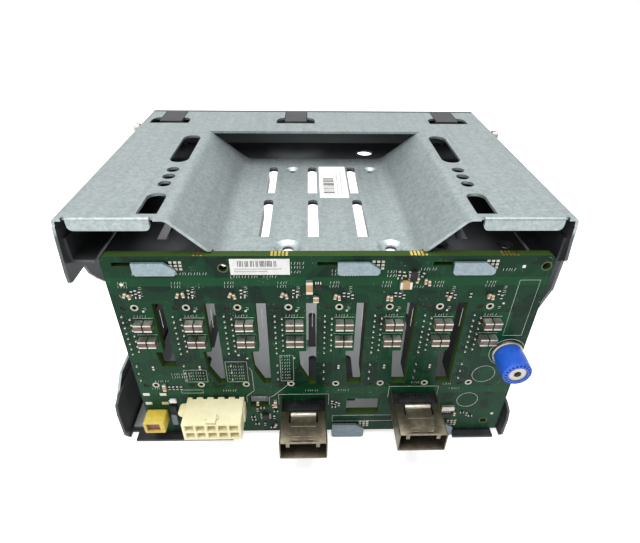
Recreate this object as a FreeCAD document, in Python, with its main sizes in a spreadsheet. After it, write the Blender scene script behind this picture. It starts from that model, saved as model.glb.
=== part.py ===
"""Drive cage with its backplane board: eight small drive bays side by side in a sheet metal cage.

The backplane board closes the rear of the cage, hangs on hooks of the guide plates and is held by
one thumbscrew. +X runs across the bays, +Y from the board towards the open front, +Z up. The origin
is the middle of the underside of the base pan. All lengths are in millimetres.
"""

import FreeCAD, Part
import os
import re
import Sketcher

os.makedirs("parts", exist_ok=True)
doc = FreeCAD.newDocument("DriveCage")
sheet = doc.addObject("Spreadsheet::Sheet", "Sizes")

SIZES = {
    # the cage as a whole
    "cage_width": 161.6, "cage_depth": 111, "cage_height": 103.3, "gauge": 1, "bay_count": 8,
    "bay_pitch": 17.4, "bay_shift": -1.3, "running_gap": 0.05, "seat_gap": 0.3,
    # the pressed recess in the top cover
    "recess_depth": 14.7, "recess_foot": 31, "slope_run": 15.5, "foot_bend": 7, "crest_bend": 4,
    "strip_depth": 29.6, "floor_lead": 4.6, "corner_bend": 0.5, "lip_inner": 51.5,
    "lip_outer": 76.6, "lip_drop": 4.3, "lip_round": 1.7, "lip_relief": 1.2,
    # openings in the top cover
    "long_slot_across": 52.9, "long_slot_width": 7.3, "long_slot_inset": 44.9,
    "long_slot_length": 30.6, "round_hole_radius": 2.3, "round_hole_inset": 25.3,
    "round_hole_step": 6.25, "rear_slot_width": 6.5, "rear_slot_inset": 3.1,
    "rear_slot_length": 14.7, "clip_place_left": -67.8, "clip_place_middle": -8.9,
    "clip_place_right": 63.4, "clip_cut_half": 9, "clip_cut_depth": 8.6, "clip_cut_front": 9.5,
    "clip_ear_radius": 4.2, "dimple_radius": 4.8, "dimple_small_radius": 3.2, "dimple_slant": 1.9,
    "dimple_hole": 1.9, "dimple_rear_inset": 7.3, "dimple_front_inset": 38.2, "pin_hole_aside": 1.5,
    "pin_hole_inset": 26.9, "pin_hole_radius": 1.1,
    # side walls
    "wall_lift": 1, "ear_reach": 2.6, "ear_tip_drop": 22.7, "ear_notch_place": 8.7,
    "bay_notch_depth": 27, "bay_notch_fall": 14.6, "bay_notch_bottom": 27, "notch_bend": 4,
    "notch_heel": 9, "notch_crook": 2, "notch_elbow": 6, "notch_slope": 5, "right_ear_drop": 15.3,
    "right_ear_reach": 1.6, "right_edge_drop": 28.3, "right_edge_place": 5.2, "right_edge_fall": 14,
    "lock_tab_width": 17, "lock_tab_height": 16, "lock_tab_bend": 3.4,
    # base pan
    "pan_lip": 4.6, "pan_left_flange": 23, "pan_right_flange": 16.6, "pan_left_reach": 4.4,
    "pan_right_reach": 4, "pan_left_heel": 4, "pan_right_heel": 1, "pan_flange_bend": 1.5,
    "pan_flange_slope": 6, "pan_lip_left": -75.4, "pan_lip_left_end": -35,
    "pan_lip_right_start": 44, "pan_lip_right": 75.2,
    # guide plates
    "plate_flange": 8, "guide_slot_width": 3.8, "guide_tab": 4, "guide_rear_inset": 14,
    "guide_rear_length": 28.6, "guide_front_inset": 62.2, "guide_front_length": 27.1,
    "edge_slot_across": 71.5, "edge_slot_width": 1, "edge_slot_inset": 35.1, "guide_rows": 7,
    "lower_plate_inset": 11.5, "sight_hole_radius": 3.8, "sight_hole_inset": 13.8,
    "plate_dimple_inset": 10.3, "plate_dimple_outer": 64.9, "plate_dimple_inner": 42.2,
    "plate_dimple_radius": 2.9, "plate_hole_radius": 1.2, "plate_hole_across": 65.6,
    "plate_hole_inset": 1.9, "hook_rise": 1.1, "hook_height": 4.8, "hook_width": 13.8,
    "hook_joggle": 0.6, "hook_left": -52.4, "hook_middle": 13.2, "hook_right": 50.8,
    "hook_chamfer": 2.6, "hook_slope": 3.6, "hook_corner": 0.8, "hook_gap": 0.1,
    "foot_hook_width": 13.4, "foot_hook_top": 7.9, "foot_hook_gap": 0.9, "foot_room": 0.5,
    "foot_tongue_reach": 2,
    # backplane board
    "board_width": 146.1, "board_over": 3.3, "board_thickness": 3, "board_middle": 3.85,
    "board_bottom": 2.4, "board_back": 1.7, "board_round": 2.5, "hook_slot_gap": 0.3,
    "hook_slot_slide": 6.5, "vent_rise": 1.7, "vent_step_drop": 21, "vent_bottom": 31.6,
    "vent_narrow": 3.7, "vent_wide": 6.6, "vent_aside": 9.7, "vent_short": 7.6, "vent_corner": 1.2,
    "vent_slant_across": 3.4, "vent_slant_up": 7.4, "right_window_left": 12.1,
    "right_window_bottom": 13, "right_window_width": 13.4, "right_window_height": 9.2,
    "left_window_left": -26.7, "left_window_bottom": 17.6, "left_window_width": 7.2,
    "left_window_height": 6.8, "corner_hole_across": 74.5, "corner_hole_drop": 4.2,
    "foot_hole_across": 70.5, "foot_hole_up": 7.7, "label_hole_across": -30.6,
    "label_hole_drop": 4.6, "post_fall": 20.9, "post_drop": 38.55, "post_aside": -3.5,
    "peg_radius": 1.1, "ring_radius": 0.9, "card_hole_radius": 1.4,
    # drive connectors on the front of the board
    "socket_width": 7.4, "socket_height": 44, "socket_reach": 9.2, "socket_slot": 2.4,
    "socket_slot_depth": 6.4, "socket_bevel": 1.2, "slot_foot": 7, "slot_web": 17.6,
    "slot_start": 19, "slot_head": 7, "slot_key": 2.2, "slot_key_reach": 1, "socket_post": 1.7,
    "socket_post_reach": 3.2, "contact_pitch": 2.54, "signal_pitch": 3.81, "contact_side": 0.5,
    "contact_stand": 0.9, "contact_first": 3.42, "contact_aside": -4.87, "contact_stagger": 2.47,
    "signal_drop": 6.35,
    # ceramic capacitors
    "cap_width": 2.8, "cap_height": 3.1, "cap_stand": 2.9, "cap_end": 0.6, "cap_pitch": 3.3,
    "cap_drop": 7.7, "cap_aside": 0.35, "cap_fall": 7.1,
    # signal ports
    "port_width": 17.8, "port_height": 9.4, "port_reach": 21.1, "port_wall": 0.45,
    "port_left": -5.2, "port_left_top": 23.6, "port_right": 38.4, "port_right_top": 27.7,
    "port_deck_start": 7, "port_slit_half": 5.2, "port_slit_length": 5.2, "port_slit_width": 0.7,
    "port_bend": 0.7, "rim_slot_width": 2, "rim_slot_length": 0.5, "rim_slot_back": 0.9,
    "rim_slot_left": -3.8, "rim_slot_right": 1.5, "strap_radius": 1, "strap_back": 1.3,
    "strap_sink": 0.35, "port_tab_width": 1.4, "port_tab_height": 2.5, "port_tab": 0.35,
    "port_tab_left": -6.4, "port_tab_right": 4.7, "port_core_reach": 9, "port_core_drop": 1.5,
    "core_drop": 2.4, "core_step_side": 2.4, "core_step_start": 5.4, "core_step": 3,
    "tooth_count": 11, "tooth_pitch": 1.2, "tooth_width": 0.6, "tooth_length": 1.4,
    "port_blade_width": 12.4, "port_blade_reach": 16, "port_blade": 1.2,
    # power header
    "header_width": 22.2, "header_height": 9.2, "header_reach": 12.9, "header_middle": -40,
    "header_top": 24, "header_pitch": 4.2, "header_cells": 5, "cell_width": 3.3, "cell_height": 3.2,
    "cell_depth": 10, "cell_row": 2.05, "header_pin": 1, "header_pin_length": 7.6,
    "header_notch_width": 1.8, "header_notch_depth": 1.2, "header_notch_length": 0.9,
    "header_notch_aside": 0.7, "ramp_width": 3.6, "ramp_length": 4.1, "ramp_height": 0.9,
    "ramp_step_width": 5, "ramp_step_back": 2, "ramp_step_length": 1.4, "ramp_step_height": 0.6,
    "header_flange": 0.6, "header_flange_reach": 6, "header_flange_width": 5,
    "header_flange_height": 6, "header_flange_drop": 7.6, "header_ear": 2, "header_ear_reach": 3.6,
    "header_ear_drop": 5.6,
    # yellow socket
    "block_left": -68.6, "block_width": 8.2, "block_height": 6.3, "block_reach": 6.6,
    "block_top": 16.9, "block_wall": 1.1, "block_window": 5.2, "block_window_depth": 3,
    "block_round": 0.7, "block_rim": 0.9,
    # thumbscrew
    "screw_across": 70.9, "screw_up": 47.7, "knob_radius": 5.4, "knob_length": 9.9,
    "knob_groove": 0.3, "knob_grooves": 20, "groove_depth": 0.7, "groove_length": 0.5,
    "knob_bevel": 0.9, "knob_bevel_length": 0.7, "knob_crown": 0.6, "knob_taper": 0.2,
    "screw_bevel": 0.4, "tip_bevel": 0.6, "ferrule_radius": 5.7, "ferrule_flange": 1.2,
    "ferrule_barrel": 3.1, "screw_radius": 2, "tip_radius": 1.6, "nut_radius": 3.6,
    "nut_length": 3.2, "nut_collar": 3, "insert_radius": 3.3, "insert_lip": 0.4,
    "drive_radius": 1.35, "drive_depth": 2.6, "drive_slimness": 0.4,
    # front frame
    "frame_thickness": 2.2, "frame_sill": 3, "frame_head_drop": 1.2, "frame_right_gap": 0.6,
    "frame_corner": 1.5, "frame_sleeve": 7, "sleeve_wall": 1.4, "sleeve_short": 4, "merge": 0.1,
    "clip_half": 5.1, "clip_length": 15, "clip_thickness": 1.5, "clip_hook": 3, "tongue_length": 8,
    # fasteners and labels
    "rivet_radius": 1.5, "rivet_head": 2.6, "rivet_head_height": 0.9, "rivet_crown": 0.6,
    "rivet_up": 9, "rivet_plate_up": 4, "rivet_rear_inset": 31.5, "rivet_front_inset": 19.5,
    "stud_radius": 2.4,
    "stud_neck": 1.7, "stud_reach": 5.4, "stud_head": 2.6, "stud_drop": 4.7,
    "stud_left_inset": 12, "stud_right_inset": 21, "label_thickness": 0.15,
    "board_label_width": 19.2, "board_label_height": 6.1, "board_label_left": -28.3,
    "board_label_drop": 7.2, "cover_label_width": 11.8, "cover_label_length": 31.8,
    "cover_label_left": 1.6, "cover_label_inset": 66.6,
}

# places along Y that follow the cage's rear edge or its front edge
PLACES = {
    "board_rear": "(-cage_depth/2-board_back)",
    "rear_slot_rear": "(-cage_depth/2+rear_slot_inset)",
    "dimple_rear": "(-cage_depth/2+dimple_rear_inset)",
    "plate_dimple_place": "(-cage_depth/2+plate_dimple_inset)",
    "guide_rear_start": "(-cage_depth/2+guide_rear_inset)",
    "round_hole_first": "(-cage_depth/2+round_hole_inset)",
    "long_slot_rear": "(-cage_depth/2+long_slot_inset)",
    "rivet_rear": "(-cage_depth/2+rivet_rear_inset)",
    "guide_front_start": "(cage_depth/2-guide_front_inset)",
    "edge_slot_end": "(cage_depth/2-edge_slot_inset)",
    "lower_plate_front": "(cage_depth/2-lower_plate_inset)",
    "sight_hole_place": "(cage_depth/2-sight_hole_inset)",
    "pin_hole_place": "(cage_depth/2-pin_hole_inset)",
    "plate_hole_place": "(cage_depth/2-plate_hole_inset)",
    "dimple_front": "(cage_depth/2-dimple_front_inset)",
    "rivet_front": "(cage_depth/2-rivet_front_inset)",
    "stud_left_place": "(cage_depth/2-stud_left_inset)",
    "stud_right_place": "(cage_depth/2-stud_right_inset)",
    "cover_label_rear": "(cage_depth/2-cover_label_inset)",
}

for row, (alias, number) in enumerate(SIZES.items(), start=1):
    sheet.set(f"A{row}", alias)
    sheet.set(f"B{row}", str(number))
    sheet.setAlias(f"B{row}", alias)
doc.recompute()

ALIAS = re.compile(r"\b[a-z][a-z_]*\b")
nodes = []


# ---------------------------------------------------------------- helpers


def linked(formula):
    """A formula in sizes and places, written so that FreeCAD reads the sheet."""
    spelled = ALIAS.sub(lambda word: PLACES.get(word[0], word[0]), str(formula))
    return ALIAS.sub(lambda word: f"Sizes.{word[0]}" if word[0] in SIZES else word[0], spelled)


def value(formula):
    """What a formula comes to with the sizes in the sheet."""
    return float(sheet.evalExpression(linked(formula)))


def bind(thing, **formulas):
    """Ties properties of an object to formulas; x, y and z are its place."""
    for name, formula in formulas.items():
        target = f"Placement.Base.{name}" if name in "xyz" else name
        thing.setExpression(target, linked(formula))
    return thing


def block(name, x, y, z, across, along, up):
    """A rectangular block from its lowest corner and its three sizes."""
    box = doc.addObject("Part::Box", name)
    return bind(box, x=x, y=y, z=z, Length=across, Width=along, Height=up)


TURNS = {
    "X": FreeCAD.Rotation(FreeCAD.Vector(0, 1, 0), 90),
    "Y": FreeCAD.Rotation(FreeCAD.Vector(1, 0, 0), -90),
    "Z": FreeCAD.Rotation(),
}


def rod(name, x, y, z, radius, length, axis="Y"):
    """A round bar that starts at a point and runs along a positive axis."""
    bar = doc.addObject("Part::Cylinder", name)
    bar.Placement = FreeCAD.Placement(FreeCAD.Vector(), TURNS[axis])
    return bind(bar, x=x, y=y, z=z, Radius=radius, Height=length)


def cone(name, x, y, z, first, last, length, axis="Z"):
    """A tapered round bar that runs along a positive axis."""
    bar = doc.addObject("Part::Cone", name)
    bar.Placement = FreeCAD.Placement(FreeCAD.Vector(), TURNS[axis])
    return bind(bar, x=x, y=y, z=z, Radius1=first, Radius2=last, Height=length)


def joined(name, pieces):
    """Several solids made one."""
    whole = doc.addObject("Part::MultiFuse", name)
    whole.Shapes = pieces
    whole.Refine = True
    return whole


def cut(name, base, tools):
    """A solid with others taken away."""
    result = doc.addObject("Part::Cut", name)
    result.Base = base
    result.Tool = tools[0] if len(tools) == 1 else joined(f"{name}_tools", tools)
    result.Refine = True
    return result


def origin_plane(body, role):
    """One of a body's own origin planes, found by its role."""
    return next(plane for plane in body.Origin.OriginFeatures if plane.Role == role)


def new_body(name):
    """An empty PartDesign body."""
    return doc.addObject("PartDesign::Body", name)


def outline(body, name, role, points, offset="0"):
    """A closed sketch of straight lines whose corners are pairs of formulas.

    role is the body's origin plane; on XZ_Plane the sketch's offset runs along -Y.
    """
    sketch = body.newObject("Sketcher::SketchObject", name)
    sketch.AttachmentSupport = (origin_plane(body, role), [""])
    sketch.MapMode = "FlatFace"
    sketch.setExpression("AttachmentOffset.Base.z", linked(offset))
    places = [FreeCAD.Vector(value(across), value(up), 0) for across, up in points]
    for first, second in zip(places, places[1:] + places[:1]):
        sketch.addGeometry(Part.LineSegment(first, second), False)
    last = len(points) - 1
    for index in range(len(points)):
        following = 0 if index == last else index + 1
        sketch.addConstraint(Sketcher.Constraint("Coincident", index, 2, following, 1))
    for index, (across, up) in enumerate(points):
        place = places[index]
        for kind, formula, number in (("DistanceX", across, place.x), ("DistanceY", up, place.y)):
            entry = sketch.addConstraint(Sketcher.Constraint(kind, -1, 1, index, 1, number))
            sketch.setExpression(f"Constraints[{entry}]", linked(formula))
    return sketch


def pad(body, sketch, length, both_ways=False):
    """Material added along the sketch's normal, or half of it each way."""
    feature = body.newObject("PartDesign::Pad", f"{sketch.Name}Pad")
    feature.Profile = sketch
    feature.setExpression("Length", linked(length))
    feature.Midplane = both_ways
    doc.recompute()
    return feature


def pocket(body, sketch, length, both_ways=True):
    """Material taken away; the volume shows that the cut met the solid."""
    before = body.Shape.Volume
    feature = body.newObject("PartDesign::Pocket", f"{sketch.Name}Pocket")
    feature.Profile = sketch
    feature.setExpression("Length", linked(length))
    feature.Midplane = both_ways
    doc.recompute()
    if body.Shape.Volume > before - 1e-6:
        raise ValueError(f"{sketch.Name} cuts nothing")
    return feature


def row_of(body, features, step, count):
    """Copies of features along X, from the first one on."""
    pattern = body.newObject("PartDesign::LinearPattern", f"{features[0].Name}Row")
    pattern.Originals = features
    pattern.Direction = (features[0].Profile[0], ["H_Axis"])
    pattern.Mode = "Spacing"
    pattern.setExpression("Offset", linked(step))
    pattern.setExpression("Occurrences", linked(count))
    body.Tip = pattern
    doc.recompute()
    return pattern


def ring_of(body, feature, count):
    """Copies of a feature round the body's own Y axis."""
    pattern = body.newObject("PartDesign::PolarPattern", f"{feature.Name}Ring")
    pattern.Originals = [feature]
    pattern.Axis = (origin_plane(body, "Y_Axis"), [""])
    pattern.Angle = 360
    pattern.setExpression("Occurrences", linked(count))
    body.Tip = pattern
    doc.recompute()
    return pattern


def turned(name, points, x, y, z):
    """A turned piece: its half section (radius, place along Y) spun round Y, then put in its place."""
    body = new_body(name)
    section = outline(body, f"{name}Section", "XY_Plane", points)
    spin = body.newObject("PartDesign::Revolution", f"{name}Turned")
    spin.Profile = section
    spin.ReferenceAxis = (section, ["V_Axis"])
    spin.Angle = 360
    body.Tip = spin
    doc.recompute()
    bind(body, x=x, y=y, z=z)
    return body


def rounded(body, name, radius, chosen, kind="Fillet"):
    """Rounds, or bevels, the edges of the body's tip that the given test picks."""
    names = [f"Edge{place}" for place, edge in enumerate(body.Shape.Edges, start=1) if chosen(edge)]
    if not names:
        raise ValueError(f"{name} finds no edge")
    base = body.Tip
    feature = body.newObject(f"PartDesign::{kind}", name)
    feature.Base = (base, names)
    feature.setExpression("Radius" if kind == "Fillet" else "Size", linked(radius))
    body.Tip = feature
    doc.recompute()
    return feature


def along(axis, **places):
    """A test for straight edges along an axis whose middle is at one of the given places."""

    def chosen(edge):
        if edge.Curve.TypeId != "Part::GeomLine":
            return False
        if abs(getattr(edge.Curve.Direction, axis)) < 0.999:
            return False
        middle = edge.BoundBox.Center
        return all(
            any(abs(getattr(middle, name) - value(one)) < 0.02 for one in wanted)
            for name, wanted in places.items()
        )

    return chosen


def softened(name, base, radius, chosen):
    """A plain solid with the edges that the given test picks rounded."""
    doc.recompute()
    soft = doc.addObject("Part::Fillet", name)
    soft.Base = base
    size = value(radius)
    soft.Edges = [
        (place, size, size) for place, edge in enumerate(base.Shape.Edges, start=1) if chosen(edge)
    ]
    return soft


def finish(label, thing):
    """Gives a finished sub-part the name of its node."""
    thing.Label = label
    nodes.append(thing)
    return thing


def group(label, shapes):
    """Like pieces that share one node, as a compound of separate solids."""
    feature = doc.addObject("Part::Feature", label)
    feature.Shape = Part.makeCompound(shapes)
    feature.Placement = FreeCAD.Placement()
    return finish(label, feature)


def bay_line(index):
    """The formula of the boundary beside a bay; 0 is the middle of the cage."""
    return f"(bay_shift+({index})*bay_pitch)"


def post_line(index):
    """The formula of a drive connector's row of ring holes, from bay 0 at the left."""
    return f"(bay_shift+({index}-(bay_count-1)/2)*bay_pitch)"


HALF_WIDTH = "(cage_width/2)"
HALF_DEPTH = "(cage_depth/2)"
WALL_INNER = "(cage_width/2-gauge)"
DECK = "(cage_height-gauge)"
FLOOR_TOP = "(cage_height-recess_depth)"
CREST = "(recess_foot+slope_run)"
STRIP_REAR = "(cage_depth/2-strip_depth)"
BOARD_FRONT = "(board_rear+board_thickness)"
BOARD_TOP = "(cage_height-recess_depth-gauge+board_over)"
BOARD_LEFT = "(board_middle-board_width/2)"
BOARD_RIGHT = "(board_middle+board_width/2)"
SEAT = "(board_rear+board_thickness+seat_gap)"
PLATE_TOP = "(cage_height-recess_depth-gauge)"
PLATE_BOTTOM = "(cage_height-recess_depth-2*gauge)"
TONGUE = "(cage_height-recess_depth-2*gauge+hook_joggle)"
POST_TOP = f"({BOARD_TOP}-post_fall)"
FRAME_HEAD = f"({PLATE_BOTTOM}-frame_head_drop)"
STUD_UP = "(cage_height-stud_drop)"
BEND_SHIFT = "gauge*tan(atan(recess_depth/slope_run)/2)"
SIDES = (("left", "-"), ("right", ""))
CLIPS = ("left", "middle", "right")
GUIDE_ROWS = (("guide_rear_start", "guide_rear_length"), ("guide_front_start", "guide_front_length"))
# where rivets join the side walls to the pan and to the upper guide plate: along Y, and up
RIVETS = [
    ("rivet_rear", "rivet_up"), ("rivet_front", "rivet_up"),
    ("rivet_rear", f"{PLATE_TOP}+rivet_plate_up"), ("rivet_front-8", f"{PLATE_TOP}+rivet_plate_up"),
]


def slot_tool(name, middle, start, length, width, bottom, square_start=False):
    """An upright cutter for a slot along Y with round ends, or a square rear end."""
    near = f"{start}" if square_start else f"{start}+{width}/2"
    run = f"{length}-{width}/2" if square_start else f"{length}-{width}"
    depth = "4*gauge"
    pieces = [
        block(f"{name}_run", f"{middle}-{width}/2", near, bottom, width, run, depth),
        rod(f"{name}_end", middle, f"{start}+{length}-{width}/2", bottom, f"{width}/2", depth, "Z"),
    ]
    if not square_start:
        pieces.append(rod(f"{name}_start", middle, near, bottom, f"{width}/2", depth, "Z"))
    return joined(name, pieces)


def dimple(name, x, y, top, rim, hole):
    """A pressed dimple with a hole in its foot: what it adds below a sheet, and what it takes away."""
    foot = f"({rim}-dimple_slant)"
    added = cone(f"{name}_shell", x, y, f"{top}-2*gauge", f"{foot}+gauge/2", f"{rim}+gauge/2", "gauge")
    hollow = cone(f"{name}_hollow", x, y, f"{top}-gauge", foot, rim, "gauge")
    through = rod(f"{name}_through", x, y, f"{top}-3*gauge", hole, "3*gauge", "Z")
    return added, [hollow, through]


# ---------------------------------------------------------------- top cover


def cover_sheet():
    """The folded sheet: recess, shoulders, front strip and both side walls."""
    body = new_body("CoverSheet")
    under = f"({FLOOR_TOP}-gauge)"
    recess = outline(body, "Recess", "XZ_Plane", [
        (f"-{CREST}-3", "cage_height"), (f"-{CREST}", "cage_height"), ("-recess_foot", FLOOR_TOP),
        ("recess_foot", FLOOR_TOP), (CREST, "cage_height"), (f"{CREST}+3", "cage_height"),
        (f"{CREST}+3", DECK), (f"{CREST}+{BEND_SHIFT}", DECK),
        (f"recess_foot+{BEND_SHIFT}", under), (f"-recess_foot-{BEND_SHIFT}", under),
        (f"-{CREST}-{BEND_SHIFT}", DECK), (f"-{CREST}-3", DECK),
    ], offset=f"-({STRIP_REAR}+floor_lead)")
    pad(body, recess, "cage_depth-strip_depth+floor_lead")
    for name, radius, across, up in (
        ("FootBend", "foot_bend", "recess_foot", FLOOR_TOP),
        ("FootBendUnder", "foot_bend+gauge", f"(recess_foot+{BEND_SHIFT})", under),
        ("CrestBend", "crest_bend", CREST, "cage_height"),
        ("CrestBendUnder", "crest_bend-gauge", f"({CREST}+{BEND_SHIFT})", DECK),
    ):
        rounded(body, name, radius, along("y", x=[across, f"-{across}"], z=[up]))
    lead = outline(body, "Lead", "YZ_Plane", [
        (STRIP_REAR, "cage_height+1"), (STRIP_REAR, "cage_height"),
        (f"{STRIP_REAR}+floor_lead", FLOOR_TOP), (f"{STRIP_REAR}+floor_lead+1", FLOOR_TOP),
        (f"{STRIP_REAR}+floor_lead+1", "cage_height+1"),
    ])
    pocket(body, lead, "cage_width")
    for side, sign in SIDES:
        shoulder = outline(body, f"Shoulder{side.title()}", "XZ_Plane", [
            (f"{sign}({CREST}+2)", "cage_height"), (f"{sign}{HALF_WIDTH}", "cage_height"),
            (f"{sign}{HALF_WIDTH}", "wall_lift"), (f"{sign}{WALL_INNER}", "wall_lift"),
            (f"{sign}{WALL_INNER}", DECK), (f"{sign}({CREST}+2)", DECK),
        ], offset=f"-{HALF_DEPTH}")
        pad(body, shoulder, "cage_depth")
    strip = outline(body, "Strip", "XZ_Plane", [
        (f"-{CREST}-2", "cage_height"), (f"{CREST}+2", "cage_height"), (f"{CREST}+2", DECK),
        (f"-{CREST}-2", DECK),
    ], offset=f"-{HALF_DEPTH}")
    pad(body, strip, "strip_depth")
    rounded(body, "CornerBend", "corner_bend+gauge",
            along("y", x=[HALF_WIDTH, f"-{HALF_WIDTH}"], z=["cage_height"]))
    rounded(body, "CornerBendUnder", "corner_bend",
            along("y", x=[WALL_INNER, f"-{WALL_INNER}"], z=[DECK]))
    return body


def wall_trim(name, offset, points):
    """Cutter that shapes the rear edge of a side wall."""
    body = new_body(name)
    pad(body, outline(body, f"{name}Outline", "YZ_Plane", points, offset=offset), "gauge+2")
    return body


def wall_trims():
    """The deep notch with its sloping upper edge on the left, and the set-back edge on the right."""
    rear = f"-{HALF_DEPTH}"
    tip = "(cage_height-ear_tip_drop)"
    notch_top = f"({tip}-bay_notch_fall)"
    left = wall_trim("BayNotch", f"-{HALF_WIDTH}-1", [
        (f"{rear}-1", tip), (f"{rear}+ear_notch_place", tip),
        (f"{rear}+ear_notch_place+notch_crook", f"{tip}-notch_slope"),
        (f"{rear}+ear_notch_place+notch_elbow", f"{tip}-2*notch_slope"),
        (f"{rear}+bay_notch_depth-2*notch_bend", notch_top),
        (f"{rear}+bay_notch_depth", f"{notch_top}-notch_elbow"),
        (f"{rear}+bay_notch_depth", "bay_notch_bottom+notch_bend"),
        (f"{rear}+bay_notch_depth-notch_bend", "bay_notch_bottom"),
        (f"{rear}+notch_heel", "bay_notch_bottom"), (f"{rear}+1", "bay_notch_bottom-notch_elbow"),
        (f"{rear}+1", "0"), (f"{rear}-1", "0"),
    ])
    edge_top = "(cage_height-right_edge_drop)"
    right = wall_trim("RightEdge", f"{WALL_INNER}-1", [
        (f"{rear}-1", f"{edge_top}+1"), (f"{rear}+0.4", edge_top),
        (f"{rear}+right_edge_place", f"{edge_top}-right_edge_fall"), (f"{rear}+right_edge_place", "0"),
        (f"{rear}-1", "0"),
    ])
    return [left, right]


def lock_tab():
    """The tab behind the thumbscrew: bent in from the right wall's edge and stepped back to the board."""
    body = new_body("LockTab")
    bend = f"({WALL_INNER}-lock_tab_bend)"
    edge = f"(-{HALF_DEPTH}+right_edge_place)"
    plan = outline(body, "LockTabPlan", "XY_Plane", [
        (f"{WALL_INNER}-lock_tab_width", SEAT), (bend, SEAT), (bend, edge),
        (f"{WALL_INNER}+gauge/2", edge), (f"{WALL_INNER}+gauge/2", f"{edge}+gauge"),
        (f"{bend}-gauge", f"{edge}+gauge"), (f"{bend}-gauge", f"{SEAT}+gauge"),
        (f"{WALL_INNER}-lock_tab_width", f"{SEAT}+gauge"),
    ], offset="screw_up-lock_tab_height/2")
    pad(body, plan, "lock_tab_height")
    return body


def ear(name, offset, points):
    """The part of a side wall that stands out behind the cover's rear edge."""
    body = new_body(name)
    pad(body, outline(body, f"{name}Outline", "YZ_Plane", points, offset=offset), "gauge")
    return body


def rear_lip(side, sign):
    """The lip folded down from a shoulder's rear edge."""
    start = "-lip_outer" if sign else "lip_inner"
    lip = block(f"lip_{side}", start, f"-{HALF_DEPTH}", "cage_height-lip_drop", "lip_outer-lip_inner",
                "gauge+merge", "lip_drop")
    corners = softened(f"lip_{side}_corners", lip, "lip_round", lambda edge: (
        edge.BoundBox.YLength > value("gauge") and edge.BoundBox.ZMax < value("cage_height-lip_drop/2")
    ))
    return softened(f"lip_{side}_bend", corners, "0.9*gauge", along(
        "x", y=[f"-{HALF_DEPTH}"], z=["cage_height"],
    ))


def cover_cuts():
    """The openings of the cover, apart from its dimples."""
    low = f"{DECK}-gauge"
    tools = []
    for side, sign in SIDES:
        middle = f"{sign}long_slot_across"
        tools.append(slot_tool(f"long_slot_{side}", middle, "long_slot_rear", "long_slot_length",
                               "long_slot_width", low))
        tools.append(slot_tool(f"rear_slot_{side}", middle, "rear_slot_rear", "rear_slot_length",
                               "rear_slot_width", low, square_start=True))
        for count in range(3):
            tools.append(rod(f"round_hole_{side}_{count}", middle,
                             f"round_hole_first+{count}*round_hole_step", low, "round_hole_radius",
                             "3*gauge", "Z"))
    start = f"({HALF_DEPTH}-clip_cut_front-clip_cut_depth)"
    for name in CLIPS:
        middle = f"clip_place_{name}"
        tools.append(block(f"clip_cut_{name}", f"{middle}-clip_cut_half", start, low, "2*clip_cut_half",
                           "clip_cut_depth-clip_ear_radius", "3*gauge"))
        for end, sign in (("a", "-"), ("b", "+")):
            tools.append(rod(f"clip_ear_{name}_{end}", f"{middle}{sign}(clip_cut_half-clip_ear_radius)",
                             f"{start}+clip_cut_depth-clip_ear_radius", low, "clip_ear_radius",
                             "3*gauge", "Z"))
        tools.append(block(f"clip_neck_{name}", f"{middle}-clip_half-seat_gap", f"{start}+1", low,
                           "2*clip_half+2*seat_gap", "clip_cut_depth+clip_cut_front", "3*gauge"))
    for column in (-1, 0, 1):
        for row, (begin, length) in enumerate(GUIDE_ROWS):
            tools.append(slot_tool(f"floor_slot_{column + 1}_{row}", bay_line(column), begin, length,
                                   "guide_slot_width", f"{FLOOR_TOP}-2*gauge", square_start=True))
    for column in (-1, 0, 1, 2):
        tools.append(rod(f"pin_hole_{column + 1}", f"{bay_line(column)}+pin_hole_aside", "pin_hole_place",
                         f"{FLOOR_TOP}-2*gauge", "pin_hole_radius", "3*gauge", "Z"))
    for side, x in (("left", f"-{HALF_WIDTH}-1"), ("right", f"{WALL_INNER}-1")):
        for count, (place, up) in enumerate(RIVETS):
            tools.append(rod(f"rivet_hole_{side}_{count}", x, place, up, "rivet_radius+running_gap",
                             "gauge+2", "X"))
        tools.append(rod(f"stud_hole_{side}", x, f"stud_{side}_place", STUD_UP, "stud_neck+running_gap",
                         "gauge+2", "X"))
    tools.append(rod("lock_hole", "screw_across", f"{SEAT}-1", "screw_up", "nut_collar+running_gap",
                     "gauge+2"))
    return tools


COVER_DIMPLES = [
    (f"{side}_{end}", bay_line(column), f"dimple_{end}", radius)
    for side, column in (("left", -0.5), ("right", 1.5))
    for end, radius in (("rear", "dimple_radius"), ("front", "dimple_small_radius"))
]


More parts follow.
